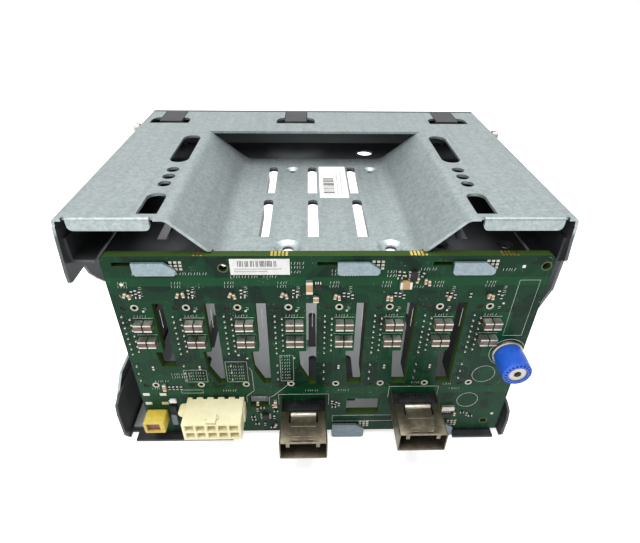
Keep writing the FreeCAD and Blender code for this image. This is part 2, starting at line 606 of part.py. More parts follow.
def top_cover():
    """Galvanised cover with its walls, lips, ears and openings."""
    rear = f"-{HALF_DEPTH}"
    ear_top = "cage_height-corner_bend-gauge"
    tip = "cage_height-ear_tip_drop"
    right_tip = "cage_height-right_ear_drop"
    left_ear = ear("LeftEar", f"-{HALF_WIDTH}", [
        (f"{rear}+1", ear_top), (f"{rear}-0.5", f"{ear_top}-1"), (f"{rear}-0.9", "cage_height-5"),
        (f"{rear}-ear_reach", f"{tip}+4"), (f"{rear}-ear_reach", f"{tip}+0.6"),
        (f"{rear}-ear_reach+1.2", tip), (f"{rear}+1", tip),
    ])
    right_ear = ear("RightEar", WALL_INNER, [
        (f"{rear}+1", ear_top), (f"{rear}-0.4", f"{ear_top}-1"),
        (f"{rear}-right_ear_reach*0.4", "cage_height-right_ear_drop/2"),
        (f"{rear}-right_ear_reach", f"{right_tip}+1"), (f"{rear}-right_ear_reach+0.6", right_tip),
        (f"{rear}+1", right_tip),
    ])
    reliefs = [
        block(f"lip_relief_{side}", f"-lip_outer-lip_relief" if sign else "lip_inner-lip_relief",
              f"{rear}-1", f"{DECK}-1", "lip_outer-lip_inner+2*lip_relief", "gauge+1", "3*gauge")
        for side, sign in SIDES
    ]
    room = [block("board_room", f"-{CREST}", f"{rear}-1", f"{FLOOR_TOP}-2*gauge", f"2*{CREST}",
                  f"{SEAT}-{rear}+1", "board_over+gauge+0.5")]
    for name in CLIPS:
        room.append(block(f"tongue_room_{name}", f"hook_{name}-hook_width/2-seat_gap", f"{rear}-1",
                          f"{FLOOR_TOP}-2*gauge", "hook_width", f"{SEAT}-{rear}+1+gauge+seat_gap",
                          "3*gauge"))
    sheet_trimmed = cut("CoverTrimmed", cover_sheet(), [*wall_trims(), *reliefs, *room])
    pieces = [sheet_trimmed, left_ear, right_ear, lock_tab()]
    pieces += [rear_lip(side, sign) for side, sign in SIDES]
    tools = cover_cuts()
    for name, x, y, radius in COVER_DIMPLES:
        hole = f"dimple_hole*{radius}/dimple_radius"
        added, taken = dimple(f"dimple_{name}", x, y, FLOOR_TOP, radius, hole)
        pieces.append(added)
        tools += taken
    return finish("top_cover", cut("TopCover", joined("cover_whole", pieces), tools))


# ---------------------------------------------------------------- base pan and guide plates


def base_pan():
    """Black pan under the cage with its upturned flanges and rear lips."""
    body = new_body("PanSheet")
    inner = f"({WALL_INNER}-gauge)"
    rear = f"-{HALF_DEPTH}"
    profile = outline(body, "PanProfile", "XZ_Plane", [
        (f"-{WALL_INNER}", "pan_left_flange"), (f"-{WALL_INNER}", "0"), (WALL_INNER, "0"),
        (WALL_INNER, "pan_right_flange"), (inner, "pan_right_flange"), (inner, "gauge"),
        (f"-{inner}", "gauge"), (f"-{inner}", "pan_left_flange"),
    ], offset=f"-{HALF_DEPTH}")
    pad(body, profile, "cage_depth+pan_lip")
    rounded(body, "PanBend", "corner_bend+gauge", along("y", x=[WALL_INNER, f"-{WALL_INNER}"], z=["0"]))
    rounded(body, "PanBendInside", "corner_bend", along("y", x=[inner, f"-{inner}"], z=["gauge"]))
    tools = []
    for side, start, stop in (
        ("left", f"-{WALL_INNER}+gauge+corner_bend", "pan_lip_left"),
        ("middle", "pan_lip_left_end", "pan_lip_right_start"),
        ("right", "pan_lip_right", f"{WALL_INNER}-gauge-corner_bend"),
    ):
        tools.append(block(f"pan_notch_{side}", start, f"{rear}-pan_lip-1", "-1", f"{stop}-({start})",
                           "pan_lip+1", "gauge+2"))
    for name in ("middle", "right"):
        tools.append(block(f"pan_hook_notch_{name}", f"hook_{name}-foot_hook_width/2-foot_room",
                           f"{rear}-pan_lip-1", "-1", "foot_hook_width+2*foot_room",
                           "pan_lip+notch_slope", "gauge+2"))
    for side, sign in SIDES:
        trim = new_body(f"PanTrim{side.title()}")
        top = f"pan_{side}_flange"
        reach = f"pan_{side}_reach"
        start = f"-{WALL_INNER}-0.5" if sign else f"{WALL_INNER}-gauge-corner_bend"
        pad(trim, outline(trim, f"PanTrim{side.title()}Outline", "YZ_Plane", [
            (f"{rear}-pan_lip-1", f"{top}+1"), (f"{rear}+1", f"{top}+1"), (f"{rear}+0.5", top),
            (f"{rear}-{reach}+1", f"{top}-pan_flange_bend"),
            (f"{rear}-{reach}", f"{top}-pan_flange_slope"),
            (f"{rear}-{reach}", f"pan_{side}_heel"), (f"{rear}-{reach}+pan_{side}_heel/2", 0),
            (f"{rear}-{reach}+pan_{side}_heel/2", -1), (f"{rear}-pan_lip-1", -1),
        ], offset=start), "gauge+corner_bend+0.5")
        tools.append(trim)
    for side, x in (("left", f"-{WALL_INNER}-1"), ("right", f"{WALL_INNER}-gauge-1")):
        for count, (place, up) in enumerate(RIVETS[:2]):
            tools.append(rod(f"pan_rivet_hole_{side}_{count}", x, place, up, "rivet_radius+running_gap",
                             "gauge+2", "X"))
    return finish("base_pan", cut("BasePan", body, tools))


def slot_sketch(body, name, start, length, bottom):
    """A guide slot at the leftmost boundary between bays: square at the rear, round at the front."""
    sketch = body.newObject("Sketcher::SketchObject", name)
    sketch.AttachmentSupport = (origin_plane(body, "XY_Plane"), [""])
    sketch.MapMode = "FlatFace"
    sketch.setExpression("AttachmentOffset.Base.z", linked(bottom))
    middle = bay_line("-(guide_rows-1)/2")
    left = f"{middle}-guide_slot_width/2"
    right = f"{middle}+guide_slot_width/2"
    shoulder = f"{start}+{length}-guide_slot_width/2"
    corners = [(left, start), (right, start), (right, shoulder), (left, shoulder)]
    spots = [FreeCAD.Vector(value(across), value(far), 0) for across, far in corners]
    top = FreeCAD.Vector(value(middle), value(f"{start}+{length}"), 0)
    sketch.addGeometry(Part.LineSegment(spots[0], spots[1]), False)
    sketch.addGeometry(Part.LineSegment(spots[1], spots[2]), False)
    sketch.addGeometry(Part.Arc(spots[2], top, spots[3]), False)
    sketch.addGeometry(Part.LineSegment(spots[3], spots[0]), False)
    sketch.addConstraint(Sketcher.Constraint("Coincident", 0, 2, 1, 1))
    sketch.addConstraint(Sketcher.Constraint("Coincident", 1, 2, 2, 1))
    sketch.addConstraint(Sketcher.Constraint("Coincident", 2, 2, 3, 1))
    sketch.addConstraint(Sketcher.Constraint("Coincident", 3, 2, 0, 1))
    for line, (across, far), spot in ((0, corners[0], spots[0]), (1, corners[1], spots[1]),
                                      (2, corners[2], spots[2]), (3, corners[3], spots[3])):
        for kind, formula, number in (("DistanceX", across, spot.x), ("DistanceY", far, spot.y)):
            entry = sketch.addConstraint(Sketcher.Constraint(kind, -1, 1, line, 1, number))
            sketch.setExpression(f"Constraints[{entry}]", linked(formula))
    entry = sketch.addConstraint(Sketcher.Constraint("DistanceY", -1, 1, 2, 3, value(shoulder)))
    sketch.setExpression(f"Constraints[{entry}]", linked(shoulder))
    return sketch


def guide_slots(body, name, plate_bottom):
    """The two rows of guide slots, one slot at each boundary between bays."""
    for row, (start, length) in enumerate(GUIDE_ROWS):
        slot = slot_sketch(body, f"{name}Slot{row}", start, length, f"{plate_bottom}-gauge")
        row_of(body, [pocket(body, slot, "6*gauge")], "bay_pitch", "guide_rows")


def guide_tabs(name, bottom):
    """The tongues of the guide slots, bent out along their left edges, and both edge guides."""
    tabs = []
    for column in range(-3, 4):
        for row, (start, length) in enumerate(GUIDE_ROWS):
            left = f"{bay_line(column)}-guide_slot_width/2-gauge"
            tabs.append(block(f"{name}_{column + 3}_{row}", left, f"{start}+1", bottom, "gauge",
                              f"{length}-guide_slot_width", "guide_tab+gauge/2"))
    for side, x in (("left", "-edge_slot_across+edge_slot_width/2"),
                    ("right", "edge_slot_across-edge_slot_width/2-gauge")):
        tabs.append(block(f"{name}_edge_{side}", x, "guide_rear_start+1", bottom, "gauge",
                          "edge_slot_end-guide_rear_start-2", "guide_tab+gauge/2"))
    return tabs


def edge_slots(name, plate_bottom):
    """The narrow slots that run in from the rear edge beside the edge guides."""
    return [
        block(f"{name}_{side}", f"{sign}edge_slot_across-edge_slot_width/2", f"{BOARD_FRONT}-1",
              f"{plate_bottom}-gauge", "edge_slot_width", f"edge_slot_end-{BOARD_FRONT}+1", "3*gauge")
        for side, sign in SIDES
    ]


def hook_end(name, middle, width, top, bottom, gap):
    """The end of a folded hook, which lies behind the board, with its chamfer and soft corners."""
    body = new_body(name)
    left = f"({middle}-{width}/2)"
    right = f"({middle}+{width}/2)"
    pad(body, outline(body, f"{name}Outline", "XZ_Plane", [
        (left, top), (f"{right}-hook_slope", top), (right, f"{top}-hook_chamfer"),
        (right, f"{bottom}+hook_corner"), (f"{right}-hook_corner", bottom),
        (f"{left}+hook_corner", bottom), (left, f"{bottom}+hook_corner"),
    ], offset=f"-board_rear+{gap}"), "gauge")
    return body


def upper_guide_plate():
    """Upper guide plate: guide tabs hang down between the drives, three hooks carry the board."""
    body = new_body("UpperPlateSheet")
    rise = f"({PLATE_TOP}+plate_flange)"
    inner = f"({WALL_INNER}-gauge)"
    profile = outline(body, "UpperProfile", "XZ_Plane", [
        (f"-{WALL_INNER}", rise), (f"-{WALL_INNER}", PLATE_BOTTOM), (WALL_INNER, PLATE_BOTTOM),
        (WALL_INNER, rise), (inner, rise), (inner, PLATE_TOP), (f"-{inner}", PLATE_TOP),
        (f"-{inner}", rise),
    ], offset=f"-{HALF_DEPTH}")
    pad(body, profile, f"cage_depth/2-{BOARD_FRONT}")
    guide_slots(body, "Upper", PLATE_BOTTOM)
    pieces = [body, *guide_tabs("upper_tab", f"{PLATE_BOTTOM}-guide_tab")]
    for name in CLIPS:
        middle = f"hook_{name}"
        pieces.append(hook_end(f"Hook{name.title()}", middle, "hook_width", f"({PLATE_TOP}+hook_rise)",
                               f"({PLATE_TOP}+hook_rise-hook_height)", "hook_gap"))
        pieces.append(block(f"tongue_{name}", f"{middle}-hook_width/2", "board_rear-hook_gap-gauge/2",
                            TONGUE, "hook_width-hook_slope",
                            "board_thickness+hook_gap+gauge/2+gauge+seat_gap", "gauge"))
    tools = edge_slots("upper_edge_slot", PLATE_BOTTOM)
    tools.append(rod("sight_hole", bay_line(1.5), "sight_hole_place", f"{PLATE_BOTTOM}-gauge",
                     "sight_hole_radius", "3*gauge", "Z"))
    for name, x, y, radius in COVER_DIMPLES:
        tools.append(rod(f"clear_{name}", x, y, f"{PLATE_BOTTOM}-gauge", f"{radius}+gauge/2+seat_gap",
                         "3*gauge", "Z"))
    for side, sign in SIDES:
        tools.append(rod(f"plate_hole_{side}", f"{sign}plate_hole_across", "plate_hole_place",
                         f"{PLATE_BOTTOM}-gauge", "plate_hole_radius", "3*gauge", "Z"))
    for end in ("outer", "inner"):
        added, taken = dimple(f"plate_dimple_{end}", f"plate_dimple_{end}", "plate_dimple_place",
                              PLATE_TOP, "plate_dimple_radius", "plate_dimple_radius/2")
        pieces.append(added)
        tools += taken
    for side, x in (("left", f"-{WALL_INNER}-1"), ("right", f"{WALL_INNER}-gauge-1")):
        for count, (place, up) in enumerate(RIVETS[2:]):
            tools.append(rod(f"plate_rivet_hole_{side}_{count}", x, place, up, "rivet_radius+running_gap",
                             "gauge+2", "X"))
    return finish("upper_guide_plate", cut("UpperGuidePlate", joined("upper_plate_whole", pieces), tools))


def lower_guide_plate():
    """Lower guide plate on the pan: guide tabs stand up between the drives, two hooks hold the board."""
    inner = f"({WALL_INNER}-gauge-corner_bend-seat_gap)"
    body = new_body("LowerPlateSheet")
    floor = outline(body, "LowerFloor", "XY_Plane", [
        (f"-{inner}", SEAT), (inner, SEAT),
        (inner, "lower_plate_front"), (f"-{inner}", "lower_plate_front"),
    ], offset="gauge")
    pad(body, floor, "gauge")
    guide_slots(body, "Lower", "gauge")
    pieces = [body, *guide_tabs("lower_tab", "gauge*3/2")]
    for name in ("middle", "right"):
        left = f"hook_{name}-foot_hook_width/2"
        run = "board_thickness+foot_hook_gap+gauge/2+seat_gap+foot_tongue_reach"
        pieces.append(hook_end(f"FootHook{name.title()}", f"hook_{name}", "foot_hook_width",
                               "foot_hook_top", "0", "foot_hook_gap"))
        pieces.append(block(f"foot_tongue_{name}", left, "board_rear-foot_hook_gap-gauge/2", 0,
                            "foot_hook_width-hook_corner", run, "gauge"))
        pieces.append(block(f"foot_joggle_{name}", left, f"{SEAT}+1", 0, "foot_hook_width-hook_corner",
                            "gauge", "gauge*3/2"))
    tools = edge_slots("lower_edge_slot", "gauge")
    return finish("lower_guide_plate", cut("LowerGuidePlate", joined("lower_plate_whole", pieces), tools))


# ---------------------------------------------------------------- backplane board


def vent_points(index):
    """The corners of the cut-out between two bays: narrow above, wider below its step."""
    right = f"({post_line(index)}+vent_aside)"
    wide = f"({right}-vent_wide)"
    step = f"({POST_TOP}-vent_step_drop)"
    bottom = f"({step}-vent_short)" if index == 0 else "vent_bottom"
    top = f"({POST_TOP}+vent_rise)"
    points = [(f"{right}-vent_narrow", top), (right, top), (right, bottom)]
    if index in (1, 2, 3):
        points += [(f"{wide}+vent_corner/2+vent_slant_across", bottom),
                   (f"{wide}+vent_corner/2", f"{bottom}+vent_slant_up")]
    else:
        points += [(f"{wide}+vent_corner", bottom)]
    return points + [(wide, step), (f"{right}-vent_narrow", step)]


def backplane_board():
    """Printed board with the cut-outs that let air through and the slots for the hooks."""
    body = new_body("BoardSheet")
    face = outline(body, "Face", "XZ_Plane", [
        (BOARD_LEFT, "board_bottom"), (BOARD_RIGHT, "board_bottom"), (BOARD_RIGHT, BOARD_TOP),
        (BOARD_LEFT, BOARD_TOP),
    ], offset=f"-{BOARD_FRONT}")
    pad(body, face, "board_thickness")
    rounded(body, "BoardCorners", "board_round", along(
        "y", x=[BOARD_LEFT, BOARD_RIGHT], z=["board_bottom", BOARD_TOP],
    ))
    for index in range(7):
        vent = outline(body, f"Vent{index}", "XZ_Plane", vent_points(index), offset=f"-{BOARD_FRONT}-1")
        pocket(body, vent, "4*board_thickness")
    start, depth = "board_rear-1", "board_thickness+2"
    tools = [
        block(f"window_{side}", f"{side}_window_left", start, f"{side}_window_bottom",
              f"{side}_window_width", depth, f"{side}_window_height")
        for side, sign in SIDES
    ]
    for name in CLIPS:
        tools.append(block(f"hook_slot_{name}", f"hook_{name}-hook_width/2-hook_slot_slide", start,
                           f"{TONGUE}-hook_slot_gap", "hook_width+hook_slot_slide+seat_gap", depth,
                           "gauge+2*hook_slot_gap"))
    for index in range(8):
        for row, up in (("top", POST_TOP), ("bottom", f"{POST_TOP}-post_drop")):
            tools.append(rod(f"peg_hole_{index}_{row}", f"{post_line(index)}+post_aside", start, up,
                             "peg_radius+running_gap", depth))
            tools.append(rod(f"ring_hole_{index}_{row}", post_line(index), start, up, "ring_radius",
                             depth))
    for name, up in (("corner", f"{BOARD_TOP}-corner_hole_drop"), ("foot", "foot_hole_up"),
                     ("label", f"{BOARD_TOP}-label_hole_drop")):
        tools.append(rod(f"card_hole_{name}", f"{name}_hole_across", start, up, "card_hole_radius",
                         depth))
    tools.append(rod("screw_hole", "screw_across", start, "screw_up", "ferrule_barrel+running_gap",
                     depth))
    return finish("backplane_board", cut("BackplaneBoard", body, tools))


def drive_connector(index):
    """Upright receptacle on the front of the board, with its keyed slot, guide posts and board pegs."""
    name = f"DriveConnector{index + 1}"
    middle = f"({post_line(index)}+post_aside)"
    half = "socket_width/2"
    bottom = f"({POST_TOP}-post_drop/2-socket_height/2)"
    top = f"({bottom}+socket_height)"
    front = f"({BOARD_FRONT}+socket_reach)"
    body = new_body(f"{name}Housing")
    pad(body, outline(body, f"{name}Outline", "XZ_Plane", [
        (f"{middle}-{half}+socket_bevel", bottom), (f"{middle}+{half}-socket_bevel", bottom),
        (f"{middle}+{half}", f"{bottom}+socket_bevel"), (f"{middle}+{half}", f"{top}-socket_bevel"),
        (f"{middle}+{half}-socket_bevel", top), (f"{middle}-{half}+socket_bevel", top),
        (f"{middle}-{half}", f"{top}-socket_bevel"), (f"{middle}-{half}", f"{bottom}+socket_bevel"),
    ], offset=f"-{front}"), "socket_reach")
    slot = f"({middle}-socket_slot/2)"
    for part, points in (
        ("Power", [(slot, f"{bottom}+slot_start"), (f"{slot}+socket_slot", f"{bottom}+slot_start"),
                   (f"{slot}+socket_slot", f"{top}-slot_head"),
                   (f"{slot}-slot_key_reach", f"{top}-slot_head"),
                   (f"{slot}-slot_key_reach", f"{top}-slot_head-slot_key"),
                   (slot, f"{top}-slot_head-slot_key")]),
        ("Signal", [(slot, f"{bottom}+slot_foot"), (f"{slot}+socket_slot", f"{bottom}+slot_foot"),
                    (f"{slot}+socket_slot", f"{bottom}+slot_web"), (slot, f"{bottom}+slot_web")]),
    ):
        opening = outline(body, f"{name}{part}", "XZ_Plane", points, offset=f"-{front}")
        pocket(body, opening, "2*socket_slot_depth")
    pieces = [body]
    for end, up in (("Top", POST_TOP), ("Bottom", f"{POST_TOP}-post_drop")):
        pieces.append(rod(f"{name}Peg{end}", middle, "board_rear+seat_gap", up, "peg_radius",
                          "board_thickness"))
        pieces.append(cone(f"{name}Post{end}", middle, f"{front}-1", up, "socket_post", "socket_post/2",
                           "socket_post_reach+1", "Y"))
    return finish(f"drive_connector_{index + 1}", joined(name, pieces))


def pin_places():
    """Where the connectors' pins come through the board: across and up."""
    pitch = value("contact_pitch")
    for index in range(8):
        left = value(f"{post_line(index)}+contact_aside")
        right = left + value("contact_stagger")
        first = value(f"{POST_TOP}-contact_first")
        for count in range(8):
            yield left, first - count * pitch
        for count in range(7):
            yield right, first - (count + 0.5) * pitch
        for count in range(3):
            yield left, first - 7 * pitch - value("signal_drop") - count * value("signal_pitch")


def solder_pins():
    """The pin ends that stand out of the board's rear, one solid each."""
    side, stand, rear = value("contact_side"), value("contact_stand"), value("board_rear")
    return group("solder_pins", [
        Part.makeBox(side, stand, side, FreeCAD.Vector(across - side / 2, rear - stand, up - side / 2))
        for across, up in pin_places()
    ])


def capacitors():
    """Ceramic blocks in fours beside each column of pins, with their metal ends as a second node."""
    width, height, stand = value("cap_width"), value("cap_height"), value("cap_stand")
    end, rear = value("cap_end"), value("board_rear")
    middles, ends = [], []
    for index in range(8):
        for column in range(2):
            for row in range(2):
                left = value(f"{post_line(index)}+cap_aside-cap_width/2+{column}*cap_pitch")
                low = value(f"{POST_TOP}-cap_fall-{row}*cap_drop-cap_height/2")
                middles.append(Part.makeBox(width, stand, height - 2 * end,
                                            FreeCAD.Vector(left, rear - stand, low + end)))
                for place in (low, low + height - end):
                    corner = FreeCAD.Vector(left, rear - stand, place)
                    ends.append(Part.makeBox(width, stand, end, corner))
    group("capacitor_bodies", middles)
    group("capacitor_ends", ends)


# ---------------------------------------------------------------- connectors at the rear


def signal_port(side):
    """A port for a signal cable: a folded metal shell round a black core."""
    name = f"Port{side.title()}"
    middle = f"port_{side}"
    top = f"port_{side}_top"
    front = "(board_rear-port_reach)"
    low = f"({top}-port_height)"
    half = "port_width/2"
    body = new_body(f"{name}Sleeve")
    pad(body, outline(body, f"{name}Outer", "XZ_Plane", [
        (f"{middle}-{half}", low), (f"{middle}+{half}", low), (f"{middle}+{half}", top),
        (f"{middle}-{half}", top),
    ], offset="-board_rear"), "port_reach")
    rounded(body, f"{name}Bends", "port_bend", along("y", x=[f"{middle}-{half}", f"{middle}+{half}"]))
    inner = f"({half}-port_wall)"
    hollow = outline(body, f"{name}Hollow", "XZ_Plane", [
        (f"{middle}-{inner}", f"{low}+port_wall"), (f"{middle}+{inner}", f"{low}+port_wall"),
        (f"{middle}+{inner}", f"{top}-port_wall"), (f"{middle}-{inner}", f"{top}-port_wall"),
    ], offset="-board_rear")
    pocket(body, hollow, "3*port_reach")
    rounded(body, f"{name}BendsInside", "port_bend-port_wall",
            along("y", x=[f"{middle}-{inner}", f"{middle}+{inner}"]))
    over = f"{top}-2*port_wall"
    tools = [
        block(f"{name}DeckCut", f"{middle}-{half}-1", "board_rear-port_deck_start", over, "port_width+2",
              "port_deck_start+1", "4*port_wall"),
    ]
    for letter, sign in (("A", "-"), ("B", "+")):
        tools.append(block(f"{name}Slit{letter}", f"{middle}{sign}port_slit_half-port_slit_width/2",
                           "board_rear-port_deck_start-port_slit_length", over, "port_slit_width",
                           "port_slit_length+1", "4*port_wall"))
    for end in ("left", "right"):
        tools.append(block(f"{name}RimSlot{end.title()}", f"{middle}+rim_slot_{end}",
                           f"{front}+rim_slot_back", over, "rim_slot_width", "rim_slot_length",
                           "4*port_wall"))
    strap_left = f"{middle}-port_slit_half+port_slit_width/2"
    strap_width = "2*port_slit_half-port_slit_width"
    strap_line = "board_rear-port_deck_start-strap_back"
    strap = rod(f"{name}Strap", strap_left, strap_line, f"{top}-strap_sink", "strap_radius", strap_width,
                "X")
    lid = block(f"{name}StrapLid", strap_left, f"{strap_line}-1.1*strap_radius", f"{top}-2*strap_radius",
                strap_width, "2.2*strap_radius", "2*strap_radius-port_wall")
    tabs = [
        block(f"{name}Tab{end.title()}", f"{middle}+port_tab_{end}", front, f"{top}-port_tab_height",
              "port_tab_width", "port_tab", "port_tab_height-port_wall/2")
        for end in ("left", "right")
    ]
    shell = cut(f"{name}ShellCut", body, tools)
    finish(f"signal_port_shell_{side}",
           joined(f"{name}Shell", [shell, cut(f"{name}Ridge", strap, [lid]), *tabs]))
    port_core(side)


def port_core(side):
    """The black block inside a signal port, with its step, its comb of teeth and its contact blade."""
    name = f"Port{side.title()}"
    middle = f"port_{side}"
    top = f"port_{side}_top"
    low = f"({top}-port_height)"
    left = f"{middle}-port_width/2"
    inset = "(port_wall+running_gap)"
    pieces = [
        block(f"{name}CoreBlock", f"{left}+{inset}", "board_rear-port_core_reach", f"{low}+port_bend",
              f"port_width-2*{inset}", "port_core_reach", "port_height-2*port_bend-port_core_drop"),
        block(f"{name}CoreStep", f"{left}+core_step_side", "board_rear-core_step_start",
              f"{top}-core_drop", "port_width-2*core_step_side", "core_step", 1),
        block(f"{name}CoreBlade", f"{middle}-port_blade_width/2", "board_rear-port_blade_reach",
              f"{low}+port_height/2-port_blade/2", "port_blade_width",
              "port_blade_reach-port_core_reach+1", "port_blade"),
    ]
    for count in range(int(value("tooth_count"))):
        across = f"{middle}+({count}-(tooth_count-1)/2)*tooth_pitch-tooth_width/2"
        pieces.append(block(f"{name}CoreTooth{count}", across, "board_rear-core_drop", f"{top}-core_drop",
                            "tooth_width", "tooth_length", 1))
    finish(f"signal_port_core_{side}", joined(f"{name}Core", pieces))


def power_header():
    """Cream header with ten cells, a latch ramp on top and a fixing ear at its left."""
    front = "(board_rear-header_reach)"
    left = "(header_middle-header_width/2)"
    low = "(header_top-header_height)"
    body = new_body("HeaderBlock")
    pad(body, outline(body, "HeaderFace", "XZ_Plane", [
        (left, low), (f"{left}+header_width", low), (f"{left}+header_width", "header_top"),
        (left, "header_top"),
    ], offset="-board_rear"), "header_reach")
    cell = f"(header_middle-(header_cells-1)/2*header_pitch-cell_width/2)"
    rows = []
    for row, sign in enumerate(("+", "-")):
        bottom = f"(header_top-header_height/2{sign}cell_row-cell_height/2)"
        face = outline(body, f"HeaderCell{row}", "XZ_Plane", [
            (cell, bottom), (f"{cell}+cell_width", bottom),
            (f"{cell}+cell_width", f"{bottom}+cell_height"), (cell, f"{bottom}+cell_height"),
        ], offset=f"-{front}")
        rows.append(pocket(body, face, "2*cell_depth"))
    for feature in rows:
        row_of(body, [feature], "header_pitch", "header_cells")
    near = f"{cell}+header_notch_aside"
    notch = outline(body, "HeaderNotch", "XZ_Plane", [
        (near, "header_top-header_notch_depth"),
        (f"{near}+header_notch_width", "header_top-header_notch_depth"),
        (f"{near}+header_notch_width", "header_top+1"), (near, "header_top+1"),
    ], offset="-board_rear")
    row_of(body, [pocket(body, notch, "2*header_notch_length")], "header_pitch", "header_cells")
    pieces = [
        body,
        block("header_ramp_block", "header_middle-ramp_width/2", front, "header_top-merge", "ramp_width",
              "ramp_length", "ramp_height"),
        block("header_ramp_foot", "header_middle-ramp_step_width/2", f"{front}+ramp_step_back",
              "header_top-merge", "ramp_step_width", "ramp_step_length", "ramp_step_height"),
        block("header_flange_block", f"{left}+header_width-merge", "board_rear-header_flange_reach",
              "header_top-header_flange_drop", "header_flange+merge", "header_flange_width",
              "header_flange_height"),
        rod("header_ear_rod", f"{left}-header_ear", "board_rear-header_ear_reach",
            "header_top-header_ear_drop", "header_ear", "header_ear_reach"),
        block("header_ear_web", f"{left}-header_ear", "board_rear-header_ear_reach",
              "header_top-header_ear_drop-header_ear", "header_ear+merge", "header_ear_reach",
              "2*header_ear"),
    ]
    finish("power_header", joined("PowerHeader", pieces))
    side, length = value("header_pin"), value("header_pin_length")
    start = value(f"{front}+cell_depth-header_pin_length")
    group("power_header_pins", [
        Part.makeBox(side, length, side, FreeCAD.Vector(
            value(f"header_middle+({column}-(header_cells-1)/2)*header_pitch-header_pin/2"), start,
            value(f"header_top-header_height/2{sign}cell_row-header_pin/2"),
        ))
        for column in range(int(value("header_cells")))
        for sign in "+-"
    ])


def yellow_socket():
    """Small yellow socket at the board's corner with a dark red insert behind its window."""
    front = "(board_rear-block_reach)"
    low = "(block_top-block_height)"
    shell = softened(
        "yellow_block_soft",
        block("yellow_block", "block_left", front, low, "block_width", "block_reach", "block_height"),
        "block_round", lambda edge: edge.BoundBox.YLength > 1,
    )
    inside = f"{low}+block_rim"
    window = block("yellow_window", "block_left+block_wall", f"{front}-1", inside, "block_window",
                   "block_window_depth+1", "block_height-2*block_rim")
    finish("yellow_socket", cut("YellowSocket", shell, [window]))
    insert = block("yellow_insert", "block_left+block_wall+running_gap", f"{front}+1",
                   f"{inside}+running_gap", "block_window-2*running_gap", "block_window_depth-1",
                   "block_height-2*block_rim-2*running_gap")
    finish("yellow_socket_insert", insert)


# ---------------------------------------------------------------- thumbscrew


def thumbscrew():
    """Captive screw with a grooved knob; it turns in a ferrule on the board and in a nut on the cage."""
    barrel_end = "board_thickness"
    bore = "(screw_radius+running_gap)"
    finish("thumbscrew_ferrule", turned("Ferrule", [
        (bore, "-ferrule_flange"), ("ferrule_radius-screw_bevel", "-ferrule_flange"),
        ("ferrule_radius", "-ferrule_flange+screw_bevel"), ("ferrule_radius", "0"),
        ("ferrule_barrel", "0"),
        ("ferrule_barrel", barrel_end), (bore, barrel_end),
    ], "screw_across", "board_rear", "screw_up"))

    # the knob and its screw are drawn from the knob's rear face on
    rear = "(board_rear-ferrule_flange-seat_gap-knob_length)"
    knob = turned("Knob", [
        ("insert_radius", "0"), ("knob_radius-knob_bevel", "0"),
        ("knob_radius-knob_taper", "knob_bevel_length"), ("knob_radius", "knob_length*knob_crown"),
        ("knob_radius-knob_taper", "knob_length"), ("insert_radius", "knob_length"),
    ], "screw_across", rear, "screw_up")
    groove_start = "insert_radius+groove_length"
    groove_end = "knob_radius-groove_depth"
    groove = outline(knob, "KnobGroove", "XZ_Plane", [
        (groove_start, "-knob_groove"), (groove_end, "-knob_groove"), (groove_end, "knob_groove"),
        (groove_start, "knob_groove"),
    ])
    ring_of(knob, pocket(knob, groove, 1), "knob_grooves")
    finish("thumbscrew_knob", knob)

    shank = "(knob_length+seat_gap+ferrule_flange+board_thickness)"
    tip = f"({shank}+seat_gap+gauge+nut_length-screw_bevel)"
    screw = turned("Screw", [
        ("0", "insert_lip"), ("insert_radius-screw_bevel/2", "insert_lip"),
        ("insert_radius", "insert_lip+screw_bevel/2"),
        ("insert_radius", "knob_length"), ("screw_radius", "knob_length"), ("screw_radius", shank),
        ("tip_radius", f"{shank}+seat_gap"), ("tip_radius", f"{tip}-tip_bevel"),
        ("tip_radius-tip_bevel", tip), ("0", tip),
    ], "screw_across", rear, "screw_up")
    arm_half = "(drive_radius*drive_slimness)"
    arm = outline(screw, "DriveArm", "XZ_Plane", [
        (f"-{arm_half}", "-drive_radius"), (arm_half, "-drive_radius"), (arm_half, "drive_radius"),
        (f"-{arm_half}", "drive_radius"),
    ])
    ring_of(screw, pocket(screw, arm, "2*drive_depth+2*insert_lip"), 3)
    finish("thumbscrew_screw", screw)

    hole = "(tip_radius+running_gap)"
    finish("thumbscrew_nut", turned("Nut", [
        (hole, "0"), ("nut_collar", "0"), ("nut_collar", "gauge"), ("nut_radius", "gauge"),
        ("nut_radius", "gauge+nut_length-0.5"), ("nut_radius-0.5", "gauge+nut_length"),
        (hole, "gauge+nut_length"),
    ], "screw_across", SEAT, "screw_up"))


# ---------------------------------------------------------------- front frame, fasteners, labels


